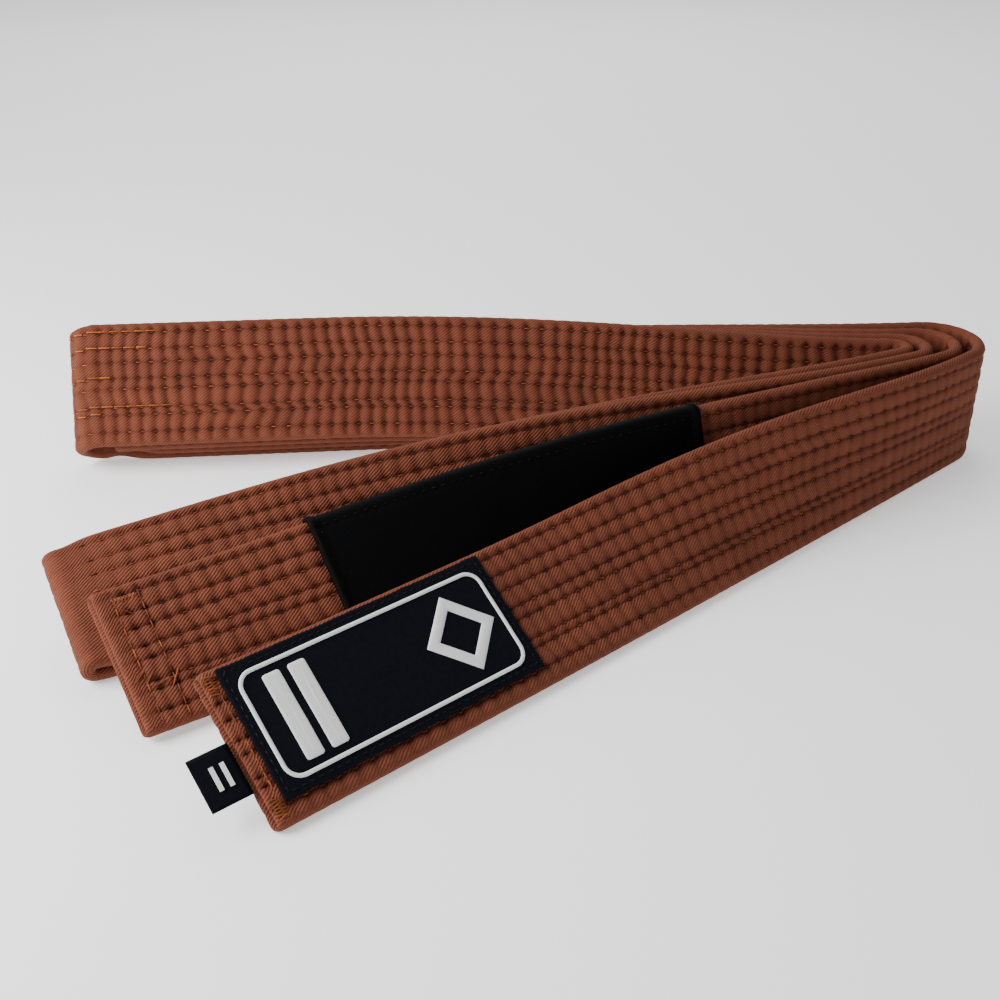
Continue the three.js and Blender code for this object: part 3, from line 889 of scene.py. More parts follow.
@dataclass
class StitchTree:
    """Geometry Nodes that set a bowed piece of thread on each vertex of a mesh."""

    length: float = 2.7
    radius: float = 0.24
    bow: float = 0.42
    seed: int = 5

    def build(self) -> bpy.types.NodeTree:
        """Makes the tree, with named inputs for its sizes."""
        tree = bpy.data.node_groups.new("stitches", "GeometryNodeTree")
        face = tree.interface
        face.new_socket("Geometry", in_out="INPUT", socket_type="NodeSocketGeometry")
        for name in ("Stitch Length", "Thread Radius", "Bow"):
            face.new_socket(name, in_out="INPUT", socket_type="NodeSocketFloat")
        face.new_socket("Seed", in_out="INPUT", socket_type="NodeSocketInt")
        face.new_socket("Thread", in_out="INPUT", socket_type="NodeSocketMaterial")
        face.new_socket("Geometry", in_out="OUTPUT", socket_type="NodeSocketGeometry")
        given = add(tree, "NodeGroupInput").outputs
        half = add(tree, "ShaderNodeMath", {0: given["Stitch Length"], 1: 0.5},
                   operation="MULTIPLY").outputs[0]
        minus = add(tree, "ShaderNodeMath", {0: half, 1: -1.0}, operation="MULTIPLY").outputs[0]
        dip = add(tree, "ShaderNodeMath", {0: given["Bow"], 1: -1.0},
                  operation="MULTIPLY").outputs[0]
        start = add(tree, "ShaderNodeCombineXYZ", {"X": minus, "Z": dip})
        top = add(tree, "ShaderNodeCombineXYZ", {"Z": given["Bow"]})
        stop = add(tree, "ShaderNodeCombineXYZ", {"X": half, "Z": dip})
        line = add(tree, "GeometryNodeCurveQuadraticBezier",
                   {"Resolution": 5, "Start": start.outputs[0], "Middle": top.outputs[0],
                    "End": stop.outputs[0]})
        ring = add(tree, "GeometryNodeCurvePrimitiveCircle",
                   {"Resolution": 5, "Radius": given["Thread Radius"]})
        thread = add(tree, "GeometryNodeCurveToMesh",
                     {"Curve": line.outputs[0], "Profile Curve": ring.outputs[0],
                      "Fill Caps": True})
        way = add(tree, "GeometryNodeInputNamedAttribute", {"Name": "way"},
                  data_type="FLOAT_VECTOR")
        out = add(tree, "GeometryNodeInputNamedAttribute", {"Name": "out"},
                  data_type="FLOAT_VECTOR")
        stretch = add(tree, "GeometryNodeInputNamedAttribute", {"Name": "stretch"},
                      data_type="FLOAT")
        turn = add(tree, "FunctionNodeAxesToRotation",
                   {0: out.outputs[0], 1: way.outputs[0]}, primary_axis="Z", secondary_axis="X")
        size = add(tree, "ShaderNodeCombineXYZ", {"X": stretch.outputs[0], "Y": 1.0, "Z": 1.0})
        placed = add(tree, "GeometryNodeInstanceOnPoints",
                     {"Points": given["Geometry"], "Instance": thread.outputs[0],
                      "Rotation": turn.outputs[0], "Scale": size.outputs[0]})
        chance = add(tree, "FunctionNodeRandomValue", {"Seed": given["Seed"]},
                     data_type="FLOAT")
        shade = add(tree, "GeometryNodeStoreNamedAttribute",
                    {"Geometry": placed.outputs[0], "Name": "shade",
                     "Value": chance.outputs[1]}, data_type="FLOAT", domain="INSTANCE")
        real = add(tree, "GeometryNodeRealizeInstances", {0: shade.outputs[0]})
        soft = add(tree, "GeometryNodeSetShadeSmooth", {0: real.outputs[0]})
        dressed = add(tree, "GeometryNodeSetMaterial",
                      {"Geometry": soft.outputs[0], "Material": given["Thread"]})
        add(tree, "NodeGroupOutput", {0: dressed.outputs[0]})
        return tree

    def sew(self, tree: bpy.types.NodeTree, name: str, points: Points,
            thread: bpy.types.Material, seed: int) -> bpy.types.Object:
        """Makes one plain mesh of stitches.

        Args:
            tree: the tree from build().
            name: the piece's name.
            points: where the stitches go.
            thread: their material.
            seed: fixes their tones.
        Returns:
            The object, at the origin.
        """
        c, t, n = (np.concatenate(x) for x in (points.c, points.t, points.n))
        mesh = bpy.data.meshes.new(name + "_places")
        mesh.from_pydata(((c + SHIFT) * MM).tolist(), [], [])
        for key, values in (("way", t), ("out", n)):
            mesh.attributes.new(key, "FLOAT_VECTOR", "POINT").data.foreach_set(
                "vector", values.astype(np.float32).ravel())
        mesh.attributes.new("stretch", "FLOAT", "POINT").data.foreach_set(
            "value", np.concatenate(points.stretch).astype(np.float32))
        carrier = bpy.data.objects.new(name + "_carrier", mesh)
        bpy.context.scene.collection.objects.link(carrier)
        modifier = carrier.modifiers.new("stitches", "NODES")
        modifier.node_group = tree
        values = {"Stitch Length": self.length * MM, "Thread Radius": self.radius * MM,
                  "Bow": self.bow * MM, "Seed": self.seed + seed, "Thread": thread}
        for item in tree.interface.items_tree:
            if item.item_type == "SOCKET" and item.in_out == "INPUT" and item.name in values:
                modifier[item.identifier] = values[item.name]
        deps = bpy.context.evaluated_depsgraph_get()
        result = bpy.data.meshes.new_from_object(carrier.evaluated_get(deps),
                                                 preserve_all_data_layers=True, depsgraph=deps)
        carrier.modifiers.remove(modifier)
        bpy.data.objects.remove(carrier)
        result.name = name
        obj = bpy.data.objects.new(name, result)
        bpy.context.scene.collection.objects.link(obj)
        return obj


@dataclass
class Finishes:
    """All the object's materials and the stitch tree."""

    twill: bpy.types.Material
    canvas: bpy.types.Material
    black: bpy.types.Material
    damask: bpy.types.Material
    white: bpy.types.Material
    thread: bpy.types.Material
    bright_thread: bpy.types.Material
    black_thread: bpy.types.Material
    stitches: StitchTree
    tree: bpy.types.NodeTree

    @classmethod
    def make(cls) -> "Finishes":
        """Builds every material once."""
        stitches = StitchTree()
        return cls(
            twill=QuiltedTwill().build(),
            canvas=PlainCloth("undyed_canvas", "#bfb08c", "#d8cbab", 0.9, 0.0, 0.9, 0.1).build(),
            black=PlainCloth("black_cotton_sateen", "#020203", "#07080b", 0.7, 90.0, 0.7,
                             0.0).build(),
            damask=PlainCloth("black_label_damask", "#07080d", "#181c28", 0.55, 0.0, 0.75,
                              0.0).build(),
            white=PlainCloth("white_woven_satin", "#ececee", "#fdfdfd", 0.5, 0.0, 0.55,
                             0.1, 0.00016).build(),
            thread=SewingThread("rust_polyester_thread", "#5a2c18", "#a4592b").build(),
            bright_thread=SewingThread("orange_polyester_thread", "#8a4a20", "#c46f30").build(),
            black_thread=SewingThread("black_polyester_thread", "#010102", "#050608").build(),
            stitches=stitches,
            tree=stitches.build(),
        )

    def sew(self, name: str, points: Points, thread: bpy.types.Material,
            seed: int) -> bpy.types.Object:
        """Makes one piece of stitches."""
        return self.stitches.sew(self.tree, name, points, thread, seed)


def dress(obj: bpy.types.Object, material: bpy.types.Material) -> None:
    """Gives a piece one material."""
    obj.data.materials.clear()
    obj.data.materials.append(material)


# ---------------------------------------------------------------- the belt


@dataclass
class FoldedBelt:
    """The quilted belt itself, in five lengths that run on into each other at the bend."""

    finishes: Finishes
    step: float = 0.65
    coarse_step: float = 1.3
    blend_before: float = 12.0
    blend_after: float = 10.0
    fold_clear: float = 6.5
    core_margin: float = 0.4
    core_setback: float = 3.4
    core_half: float = 20.0
    core_faces: tuple[float, float] = (0.12, 0.95)
    under_clear: float = 0.8
    tack_start: float = 7.0
    tack_pitch: float = 4.3
    tack_rows: tuple[tuple[int, float], ...] = (
        (7, 52.0), (6, 50.0), (4, 34.0), (2, 58.0), (1, 30.0),
    )

    def __post_init__(self) -> None:
        """Works out where each length lies on the whole belt, from its label end."""
        self.label = Strip("label_arm_cloth", label_path(self.step), 0, -1, self.step,
                           (Face.LOW, Face.HIGH), free_end=True)
        self.label.u_start = self.label.length()
        back = back_path((OUTER, 0), (INNER, 3), BACK_LENGTH, self.step)
        self.back_outer = Strip("back_outer_cloth", back, self.label.u_start, 1, self.step,
                                (Face.HIGH,))
        u = self.back_outer.u_start + self.back_outer.length()
        self.middle = Strip("middle_fold_cloth", fold_path(self.step), u, 1, self.step,
                            (Face.HIGH,))
        u += self.middle.length()
        inner = back_path((THIRD, 1), (SECOND, 2), BACK_LENGTH - INNER_FOLD_SHORT,
                          self.coarse_step)
        self.back_inner = Strip("back_inner_cloth", inner, 0, -1, self.coarse_step, ())
        u += self.back_inner.length()
        self.back_inner.u_start = u
        self.rank = Strip("rank_arm_cloth", rank_path(self.step), u, 1, self.step,
                          (Face.LOW, Face.HIGH), free_end=True, cross_rows=PLAIN_END_ROWS)
        for strip, reach in ((self.back_outer, 27.0), (self.middle, 17.0),
                             (self.back_inner, 15.0)):
            strip.calm = ((strip.length() / 2, reach, 0.12), (0.0, 16.0, 0.5),
                          (strip.length(), 16.0, 0.5))
        for strip in (self.label, self.rank):
            strip.calm = ((0.0, 24.0, 0.55),)
        for strip in (self.label, self.rank, self.middle):
            strip.quilting = SOFT_QUILT
        LOG.info("belt length %.0f mm", self.rank.u_start + self.rank.length())

    def hinge(self) -> tuple[Vector, Vector]:
        """Where the label arm starts and stops bending when the label end is lifted."""
        arc = self.label.length() - LABEL_ARM.length
        middle = arc + LABEL_ARM.length - TAIL_LENGTH
        run = self.label.run.at(np.array([middle - self.blend_before, middle + self.blend_after]))
        ends = (run.c + SHIFT) * MM
        return Vector(ends[0]), Vector(ends[1])

    def build(self) -> None:
        """Makes the cloth, the core under the label arm, and the stitching."""
        covers = [
            (self.label, ("label_arm_cover", "label_tail_cover", "label_end_turn_in")),
            (self.rank, ("rank_arm_cover", "plain_end_turn_in")),
            (self.middle, ("middle_fold_cover",)),
            (self.back_outer, ("back_outer_cover",)),
            (self.back_inner, ("back_inner_cover",)),
        ]
        for strip, nodes in covers:
            obj = strip.build()
            dress(obj, self.finishes.twill)
            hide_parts(*nodes)
            if strip is self.label:
                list(self.hinge())
                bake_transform(obj)
            else:
                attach(obj, BELT_BODY)
            strip.length() * MM
            LOG.info("%s: %d triangles", obj.name, 2 * len(obj.data.polygons))
        cores = [
            (self.label, ("label_arm", "label_tail")),
            (self.rank, ("rank_arm",)),
            (self.middle, ("middle_fold",)),
            (self.back_outer, ("back_outer",)),
            (self.back_inner, ("back_inner",)),
        ]
        for strip, nodes in cores:
            self.core(strip, nodes)
        self.stitching()

    def core(self, strip: Strip, nodes: tuple[str, ...]) -> None:
        """The two canvas plies in one length of the belt, drawn in as far as its stitches do.

        Args:
            strip: the length of belt.
            nodes: the CAD nodes, by the start of their names, that the plies stand for.
        """
        stop = strip.length() - (self.core_setback if strip.free_end else self.core_margin)
        s = np.linspace(self.core_margin, stop, int(strip.length() / 2.4))
        run = strip.run.at(s)
        half = self.core_half
        for i, side in enumerate((1, -1)):
            low, high = sorted(side * face for face in self.core_faces)
            e = np.array([-half, 0, half, half, 0, -half])
            n = np.array([low, low, low, high, high, high])
            points = (run.c[:, None] + run.e[:, None] * e[None, :, None]
                      + run.n[:, None] * n[None, :, None])
            caps = [np.arange(6)[::-1], (len(s) - 1) * 6 + np.arange(6)]
            obj = write_mesh(f"{nodes[0]}_canvas_{i + 1}", points.reshape(-1, 3),
                             tube_faces(len(s), 6), caps)
            dress(obj, self.finishes.canvas)
            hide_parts(*(f"{node}_core_ply_{i + 1}" for node in nodes))
            if strip is self.label:
                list(self.hinge())
                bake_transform(obj)
            else:
                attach(obj, BELT_BODY)
            strip.length() * MM

    def stitching(self) -> None:
        """The eight rows of stitches on every face that can be seen."""
        arc = self.label.length() - LABEL_ARM.length

        def under_patch(s: np.ndarray, e: float, side: Face) -> np.ndarray:
            """Stitches that the label covers."""
            d = s - arc
            start = LABEL_ARM.length - LABEL_END_MARGIN - LABEL_LENGTH - self.under_clear
            covered = (d > start) & (e > LABEL_LOW) & (e < LABEL_HIGH + 0.2)
            return covered & (side is Face.LOW)

        rank_arc = self.rank.length() - RANK_ARM.length

        def under_bar(s: np.ndarray, e: float, side: Face) -> np.ndarray:
            """Stitches that the rank bar covers."""
            stop = rank_arc + RANK_ARM.length - BAR_START
            hidden = (s > stop - BAR_LENGTH - 0.5) & (s < stop + 0.5)
            return hidden | (s > self.rank.length() - 12)

        def at_fold(strip: Strip) -> Skip:
            """Stitches that a fold swallows."""
            return lambda s, e, side: np.abs(s - strip.length() / 2) < self.fold_clear

        plan = [
            (self.label, (Face.LOW, Face.HIGH), under_patch),
            (self.rank, (Face.LOW, Face.HIGH), under_bar),
            (self.middle, (Face.HIGH,), at_fold(self.middle)),
            (self.back_outer, (Face.HIGH,), at_fold(self.back_outer)),
        ]
        for i, (strip, faces, skip) in enumerate(plan):
            name = strip.name.replace("_cloth", "_stitching")
            points = strip.stitch_points(faces, skip)
            obj = self.finishes.sew(name, points, self.finishes.thread, seed=i)
            if strip is self.label:
                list(self.hinge())
                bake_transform(obj)
            else:
                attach(obj, BELT_BODY)
            LOG.info("%s: %d faces", name, len(obj.data.polygons))
        self.fold_tacks()

    def fold_tacks(self) -> None:
        """Longer, brighter stitches beside the back fold, where the rows were sewn again."""
        strip = self.back_outer
        rows = sorted(SECTION.row_lines())
        fold = strip.length() / 2
        points = Points()
        rng = np.random.default_rng(23)
        for row, reach in self.tack_rows:
            s = fold + np.arange(self.tack_start, reach, self.tack_pitch)
            s = s + rng.uniform(-0.4, 0.4, len(s))
            e = np.full(len(s), rows[row] + 0.55)
            run = strip.run.at(s)
            rise = np.array([strip.heights(np.array([x]), np.array([y]), 1)[0, 0]
                             for x, y in zip(s, e)])
            lift = SECTION.b + np.maximum(rise, -0.05) + 0.2
            c = run.c + run.e * e[:, None] + run.n * lift[:, None]
            points.add(c, run.t, run.n, rng.uniform(1.2, 1.5, len(s)))
        obj = self.finishes.sew("back_fold_tacks", points, self.finishes.bright_thread, seed=9)
        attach(obj, BELT_BODY)


# ---------------------------------------------------------------- ends, bar, label and tab


@dataclass
class PlainEnd:
    """Two rows of stitches across the plain end, a tack at its upper corner, loose tails."""

    finishes: Finishes
    belt: FoldedBelt
    rows: tuple[float, float] = PLAIN_END_ROWS
    tails: tuple[tuple[float, float], ...] = (
        (-6.0, 3.0), (-7.0, 5.5), (-9.5, 8.5), (-9.0, 12.0), (14.0, 6.0),
    )

    def build(self) -> None:
        """Makes the thread."""
        strip = self.belt.rank
        points = Points()
        for inset in self.rows:
            e = np.arange(-19.5, 20.0, 3.4)
            run = strip.run.at(np.full(len(e), strip.length() - inset))
            for side in (-1, 1):
                c = run.c + run.e * e[:, None] + run.n * side * (SECTION.b - 0.25)
                points.add(c, run.e, run.n * side, np.full(len(e), 1.05))
        tack = np.arange(0, 6.0, 0.5)
        run = strip.run.at(strip.length() - 4.2 - tack)
        slant = np.where(np.arange(len(tack)) % 2 == 0, 1.0, -1.0)[:, None]
        way = run.e + run.t * 0.8 * slant
        c = run.c + run.e * 17.6 - run.n * (SECTION.b - 0.02)
        points.add(c, way, -run.n, np.full(len(tack), 0.8))
        rng = np.random.default_rng(17)
        for row_e, inset in self.tails:
            spot = strip.run.at(np.array([strip.length() - inset]))
            way = spot.t * rng.uniform(0.4, 1.0) + spot.e * rng.uniform(-0.9, 0.4)
            c = spot.c + spot.e * row_e - spot.n * (SECTION.b + 0.02)
            points.add(c, way, -spot.n, np.array([rng.uniform(1.6, 2.3)]))
        obj = self.finishes.sew("plain_end_thread", points, self.finishes.thread, seed=11)
        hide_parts("plain_end_stitch_1", "plain_end_stitch_2")
        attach(obj, BELT_BODY)


@dataclass
class RankBar:
    """The black sleeve round the belt near its plain end, with a hem at each end and a seam
    along its upper edge."""

    finishes: Finishes
    belt: FoldedBelt
    gap: float = BAR_GAP
    wall: float = BAR_WALL
    hem: float = 2.6
    hem_rise: float = 0.4
    seam_inset: float = 3.0
    stitch_pitch: float = 3.2
    corner_loss: float = 3.0  # what the rounded edges take off the way round
    step: float = 0.8

    def build(self) -> None:
        """Makes the sleeve and its stitches."""
        strip = self.belt.rank
        stop = strip.length() - BAR_START
        start = stop - BAR_LENGTH
        d = np.linspace(start, stop, int(BAR_LENGTH / self.step) + 1)
        from_end = np.minimum(d - start, stop - d)
        rim = self.hem_rise * np.clip(1 - ((from_end - self.hem / 2) / (self.hem / 2)) ** 2, 0, 1)
        rim = rim ** 0.5 * (from_end < self.hem)
        rim[rim > 0] += 0.02
        outline = Outline.make(True, True, 10)
        grow = self.gap + self.wall
        e_out = outline.e * (SECTION.a + grow) / SECTION.a
        outer_run = strip.run.at(d)
        face = outline.face >= 1
        seam = np.exp(-(((e_out - (SECTION.a - self.seam_inset)) / 0.5) ** 2)) * face
        tuck = 0.07 * ripple(d[:, None], e_out[None], 16.0, 91)
        pucker = 0.6 + 0.4 * np.cos(2 * math.pi * d[:, None] / self.stitch_pitch)
        pucker = seam[None] * 0.28 * pucker
        height = grow + rim[:, None] + np.minimum(tuck, 0.05) * face - pucker
        e = outline.e[None] + outline.out_e[None] * height
        n = outline.n[None] + outline.out_n[None] * height
        outer = (outer_run.c[:, None] + outer_run.e[:, None] * e[..., None]
                 + outer_run.n[:, None] * n[..., None])
        inner_d = d[::-8]
        inner_run = strip.run.at(inner_d)
        e_in = outline.e + outline.out_e * self.gap
        n_in = outline.n + outline.out_n * self.gap
        inner = (inner_run.c[:, None] + inner_run.e[:, None] * e_in[None, :, None]
                 + inner_run.n[:, None] * n_in[None, :, None])
        points = np.concatenate([outer, inner])
        rings, count = points.shape[:2]
        s = np.concatenate([d, inner_d, d[:1]])
        obj = write_mesh("rank_bar_sleeve", points.reshape(-1, 3),
                         tube_faces(rings, count, loop=True), [], Strip.cloth_uv(outline, s))
        dress(obj, self.finishes.black)
        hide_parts("rank_bar")
        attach(obj, BELT_BODY)
        places = Points()
        at = np.arange(start + 3, stop - 2, self.stitch_pitch)
        run = strip.run.at(at)
        lift = SECTION.b + grow - 0.12
        c = run.c + run.e * (SECTION.a - self.seam_inset) - run.n * lift
        places.add(c, run.t, -run.n, np.full(len(at), 0.85))
        for edge in (start + self.hem + 0.3, stop - self.hem - 0.3):
            across = np.arange(-19, 19.5, 3.0)
            run = strip.run.at(np.full(len(across), edge))
            c = run.c + run.e * across[:, None] - run.n * (SECTION.b + grow - 0.02)
            places.add(c, run.e, -run.n, np.full(len(across), 0.8))
        thread = self.finishes.sew("rank_bar_stitching", places, self.finishes.black_thread,
                                   seed=21)
        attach(thread, BELT_BODY)


@dataclass
class WovenLabel:
    """The label sewn on the visible face, with its raised border, emblem and two bars."""

    finishes: Finishes
    belt: FoldedBelt
    length: float = LABEL_LENGTH
    end_margin: float = LABEL_END_MARGIN
    low: float = LABEL_LOW
    high: float = LABEL_HIGH
    floor: float = 2.55
    thickness: float = 0.8
    inset: float = 3.2
    border: float = 1.15
    corner: float = 5.0
    bar_start: float = 10.0
    bar_pitch: float = 7.6
    bar_width: float = 5.2
    bar_length: float = 25.0
    bar_fall: float = 2.2  # how far in from its rim a bar is at its full height
    step: float = 0.7

    def place(self, x: np.ndarray, y: np.ndarray, height: np.ndarray) -> np.ndarray:
        """Points on the label.

        Args:
            x: distance from the label's left end, towards the bend.
            y: distance up from its lower edge.
            height: distance out of the belt's middle plane.
        Returns:
            The points.
        """
        strip = self.belt.label
        shape = np.broadcast(x, y, height).shape
        x, y, height = (np.broadcast_to(v, shape).ravel() for v in (x, y, height))
        run = strip.run.at(strip.length() - self.end_margin - x)
        points = run.c + run.e * (self.low + y)[:, None] - run.n * height[:, None]
        return points.reshape(*shape, 3)

    def surface(self, x: np.ndarray, y: np.ndarray) -> np.ndarray:
        """Height of the label's face: drawn in by its border and its edge stitches."""
        wide = self.high - self.low
        edge = np.minimum(np.minimum(x, self.length - x), np.minimum(y, wide - y))
        roll = 0.28 * np.sqrt(np.clip(edge / 0.9, 0, 1))
        seam = 0.16 * np.exp(-(((edge - 1.7) / 0.55) ** 2))
        wave = 0.05 * ripple(x, y, 14.0, 301)
        field_ = 0.10 * smooth((edge - 3.0) / 6.0)
        return self.floor + self.thickness - 0.42 + roll - seam + wave + field_

    def build(self) -> None:
        """Makes the label's cloth, its woven marks and its stitches."""
        wide = self.high - self.low
        x = np.linspace(0, self.length, int(self.length / self.step) + 1)
        y = np.linspace(0, wide, int(wide / self.step) + 1)
        x = np.sort(np.concatenate([x, [0.12, 0.35, self.length - 0.12, self.length - 0.35]]))
        y = np.sort(np.concatenate([y, [0.12, 0.35, wide - 0.12, wide - 0.35]]))
        gx, gy = np.meshgrid(x, y, indexing="ij")
        fray = 0.12 * ripple(gx, gy, 5.0, 310)
        px = gx + np.where((gx == 0) | (gx == self.length), fray, 0)
        py = gy + np.where((gy == 0) | (gy == wide), fray, 0)
        top = self.place(px, py, self.surface(gx, gy))
        bottom = self.place(px, py, np.full(gx.shape, self.floor))
        obj = self.slab("label_cloth", top, bottom, gx, gy)
        dress(obj, self.finishes.damask)
        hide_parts("label_patch")
        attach(obj, LABEL_BODY)
        self.marks(wide)
        self.threads(wide)

    def slab(self, name: str, top: np.ndarray, bottom: np.ndarray, gx: np.ndarray,
             gy: np.ndarray) -> bpy.types.Object:
        """A thin closed sheet from its two faces, each a grid of points."""
        nx, ny = gx.shape
        number = np.arange(nx * ny).reshape(nx, ny)
        a, b, c, d = number[:-1, :-1], number[1:, :-1], number[1:, 1:], number[:-1, 1:]
        upper = np.stack([a, b, c, d], -1).reshape(-1, 4)
        lower = np.stack([a, d, c, b], -1).reshape(-1, 4) + nx * ny
        rim = np.concatenate([number[:, 0], number[-1, 1:], number[-2::-1, -1],
                              number[0, -2:0:-1]])
        nxt = np.roll(rim, -1)
        side = np.stack([rim, rim + nx * ny, nxt + nx * ny, nxt], -1)
        quads = np.concatenate([upper, lower, side])
        flat = np.stack([gx.ravel(), gy.ravel()], -1) * MM
        uv = np.concatenate([flat, flat])[quads.ravel()]
        points = np.concatenate([top.reshape(-1, 3), bottom.reshape(-1, 3)])
        return write_mesh(name, points, quads, [], uv)

    def band(self, name: str, loops: list[np.ndarray], node: str, rise: float) -> None:
        """A raised woven band between two outlines with the same number of corners.

        Args:
            name: the piece's name.
            loops: the outer and the inner outline, on the label.
            node: the CAD node that it stands for.
            rise: how far it stands out of the label.
        """
        outer, inner = loops
        shares = np.array([0.0, 0.0, 0.12, 0.35, 0.65, 0.88, 1.0, 1.0])
        lifts = np.array([-0.1, 0.25, 0.8, 1.0, 1.0, 0.8, 0.25, -0.1]) * rise
        xy = outer[None] + (inner - outer)[None] * shares[:, None, None]
        height = self.surface(xy[..., 0], xy[..., 1]) + lifts[:, None]
        points = self.place(xy[..., 0], xy[..., 1], height)
        rings, count = xy.shape[:2]
        quads = tube_faces(rings, count, loop=True)
        step = np.linalg.norm(np.diff(np.vstack([outer, outer[:1]]), axis=0), axis=1)
        along = np.concatenate([[0], np.cumsum(step)])
        k = np.arange(count)
        u = np.stack([along[k], along[k + 1], along[k + 1], along[k]], -1)
        v = np.stack([0 * k, 0 * k, 0 * k + 1, 0 * k + 1], -1)
        uv = np.tile(np.stack([v, u], -1).reshape(-1, 2), (rings, 1)) * MM
        obj = write_mesh(name, points.reshape(-1, 3), quads, [], uv)
        dress(obj, self.finishes.white)
        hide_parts(node)
        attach(obj, LABEL_BODY)

    @staticmethod
    def rounded(x: float, y: float, width: float, height: float, corner: float,
                per_side: int = 24) -> np.ndarray:
        """Outline of a rounded rectangle, with as many corners whatever its size."""
        points = []
        left, right = x + corner, x + width - corner
        low, high = y + corner, y + height - corner
        corners = [(right, low, -90), (right, high, 0), (left, high, 90), (left, low, 180)]
        for i, (cx, cy, start) in enumerate(corners):
            angle = np.radians(start + np.linspace(0, 90, 9))
            arc = np.stack([cx + corner * np.cos(angle), cy + corner * np.sin(angle)], -1)
            nx, ny, nstart = corners[(i + 1) % 4]
            first = np.array([nx + corner * math.cos(math.radians(nstart)),
                              ny + corner * math.sin(math.radians(nstart))])
            share = np.linspace(0, 1, per_side + 2)[1:-1, None]
            points += [arc, arc[-1] + (first - arc[-1]) * share]
        return np.concatenate(points)

    def marks(self, wide: float) -> None:
        """The raised border, the emblem's plain diamond outline and the two bars."""
        i, c = self.inset, self.corner
        outer = self.rounded(i, i, self.length - 2 * i, wide - 2 * i, c)
        h = i + self.border
        inner = self.rounded(h, h, self.length - 2 * h, wide - 2 * h, c - self.border)
        self.band("label_border_thread", [outer, inner], "label_border", 0.42)
        middle = np.array([self.length - 27 + 12 - i, wide / 2])
        self.band("label_emblem_thread", [self.diamond(middle, 12.0), self.diamond(middle, 7.44)],
                  "label_emblem", 0.4)
        for k in range(2):
            x = self.bar_start + self.bar_pitch * k
            y = (wide - self.bar_length) / 2
            fall = self.bar_fall
            bar = self.rounded(x, y, self.bar_width, self.bar_length, 0.8, 10)
            heart = self.rounded(x + fall, y + fall, self.bar_width - 2 * fall,
                                 self.bar_length - 2 * fall, 0.3, 10)
            self.solid_bar(f"label_bar_thread_{k + 1}", bar, heart, f"label_bar_{k + 1}")

    def solid_bar(self, name: str, outline: np.ndarray, heart: np.ndarray, node: str) -> None:
        """A raised bar filled with satin stitches.

        Args:
            name: the piece's name.
            outline: its rim on the label.
            heart: the line that the rim shrinks to.
            node: the CAD node that it stands for.
        """
        shares = [(-0.1, 0.0), (0.25, 0.0), (0.36, 0.12), (0.4, 0.4), (0.42, 1.0)]
        flat = [outline + (heart - outline) * share for _, share in shares]
        points = np.stack([self.place(xy[:, 0], xy[:, 1], self.surface(xy[:, 0], xy[:, 1]) + lift)
                           for (lift, _), xy in zip(shares, flat)])
        count = len(outline)
        quads = tube_faces(len(flat), count)
        caps = [np.arange(count)[::-1], (len(flat) - 1) * count + np.arange(count)]
        uv = np.concatenate(flat)[quads.ravel()] * MM
        obj = write_mesh(name, points.reshape(-1, 3), quads, caps, uv)
        dress(obj, self.finishes.white)
        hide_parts(node)
        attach(obj, LABEL_BODY)

    @staticmethod
    def diamond(middle: np.ndarray, reach: float, per_side: int = 14) -> np.ndarray:
        """Outline of a square standing on its corner."""
        tips = [(0, -1), (1, 0), (0, 1), (-1, 0)]
        points = []
        for k, tip in enumerate(tips):
            start, stop = np.array(tip), np.array(tips[(k + 1) % 4])
            share = np.linspace(0, 1, per_side + 1)[:-1, None]
            points.append(middle + reach * (start + (stop - start) * share))
        return np.concatenate(points)

    def threads(self, wide: float) -> None:
        """Black stitches round the label, and the rust tacks and seam at the belt's end."""
        edge = 1.7
        line = self.rounded(edge, edge, self.length - 2 * edge, wide - 2 * edge, 0.6)
        closed = np.vstack([line, line[:1]])
        step = np.linalg.norm(np.diff(closed, axis=0), axis=1)
        s = np.concatenate([[0], np.cumsum(step)])
        at = np.arange(0, s[-1], 2.6)
        xy = np.stack([np.interp(at, s, closed[:, k]) for k in range(2)], -1)
        ahead = np.stack([np.interp(at + 0.4, s, closed[:, k]) for k in range(2)], -1)
        c = self.place(xy[:, 0], xy[:, 1], self.surface(xy[:, 0], xy[:, 1]) + 0.12)
        to = self.place(ahead[:, 0], ahead[:, 1], self.surface(ahead[:, 0], ahead[:, 1]) + 0.12)
        strip = self.belt.label
        out = -strip.run.at(strip.length() - self.end_margin - xy[:, 0]).n
        points = Points()
        points.add(c, to - c, out, np.full(len(at), 0.72))
        black = self.finishes.sew("label_stitching", points, self.finishes.black_thread, seed=31)
        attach(black, LABEL_BODY)
        rust = Points()
        e = np.arange(-18, 18.5, 2.3)
        run = strip.run.at(np.full(len(e), strip.length() - 1.9))
        rust.add(run.c + run.e * e[:, None] - run.n * (SECTION.b + 0.02), run.e, -run.n,
                 np.full(len(e), 0.85))
        for middle, reach in ((17.8, 2.6), (-17.6, 2.6)):
            e = np.arange(middle - reach, middle + reach, 0.42)
            run = strip.run.at(np.full(len(e), strip.length() - 1.2))
            slant = np.where(np.arange(len(e)) % 2 == 0, 0.25, -0.25)[:, None]
            rust.add(run.c + run.e * e[:, None] - run.n * (SECTION.b + 0.12),
                     run.t + run.e * slant, -run.n, np.full(len(e), 1.25))
        tacks = self.finishes.sew("label_end_tacks", rust, self.finishes.thread, seed=41)
        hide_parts("label_end_bartack_low", "label_end_bartack_top")
        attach(tacks, LABEL_BODY)


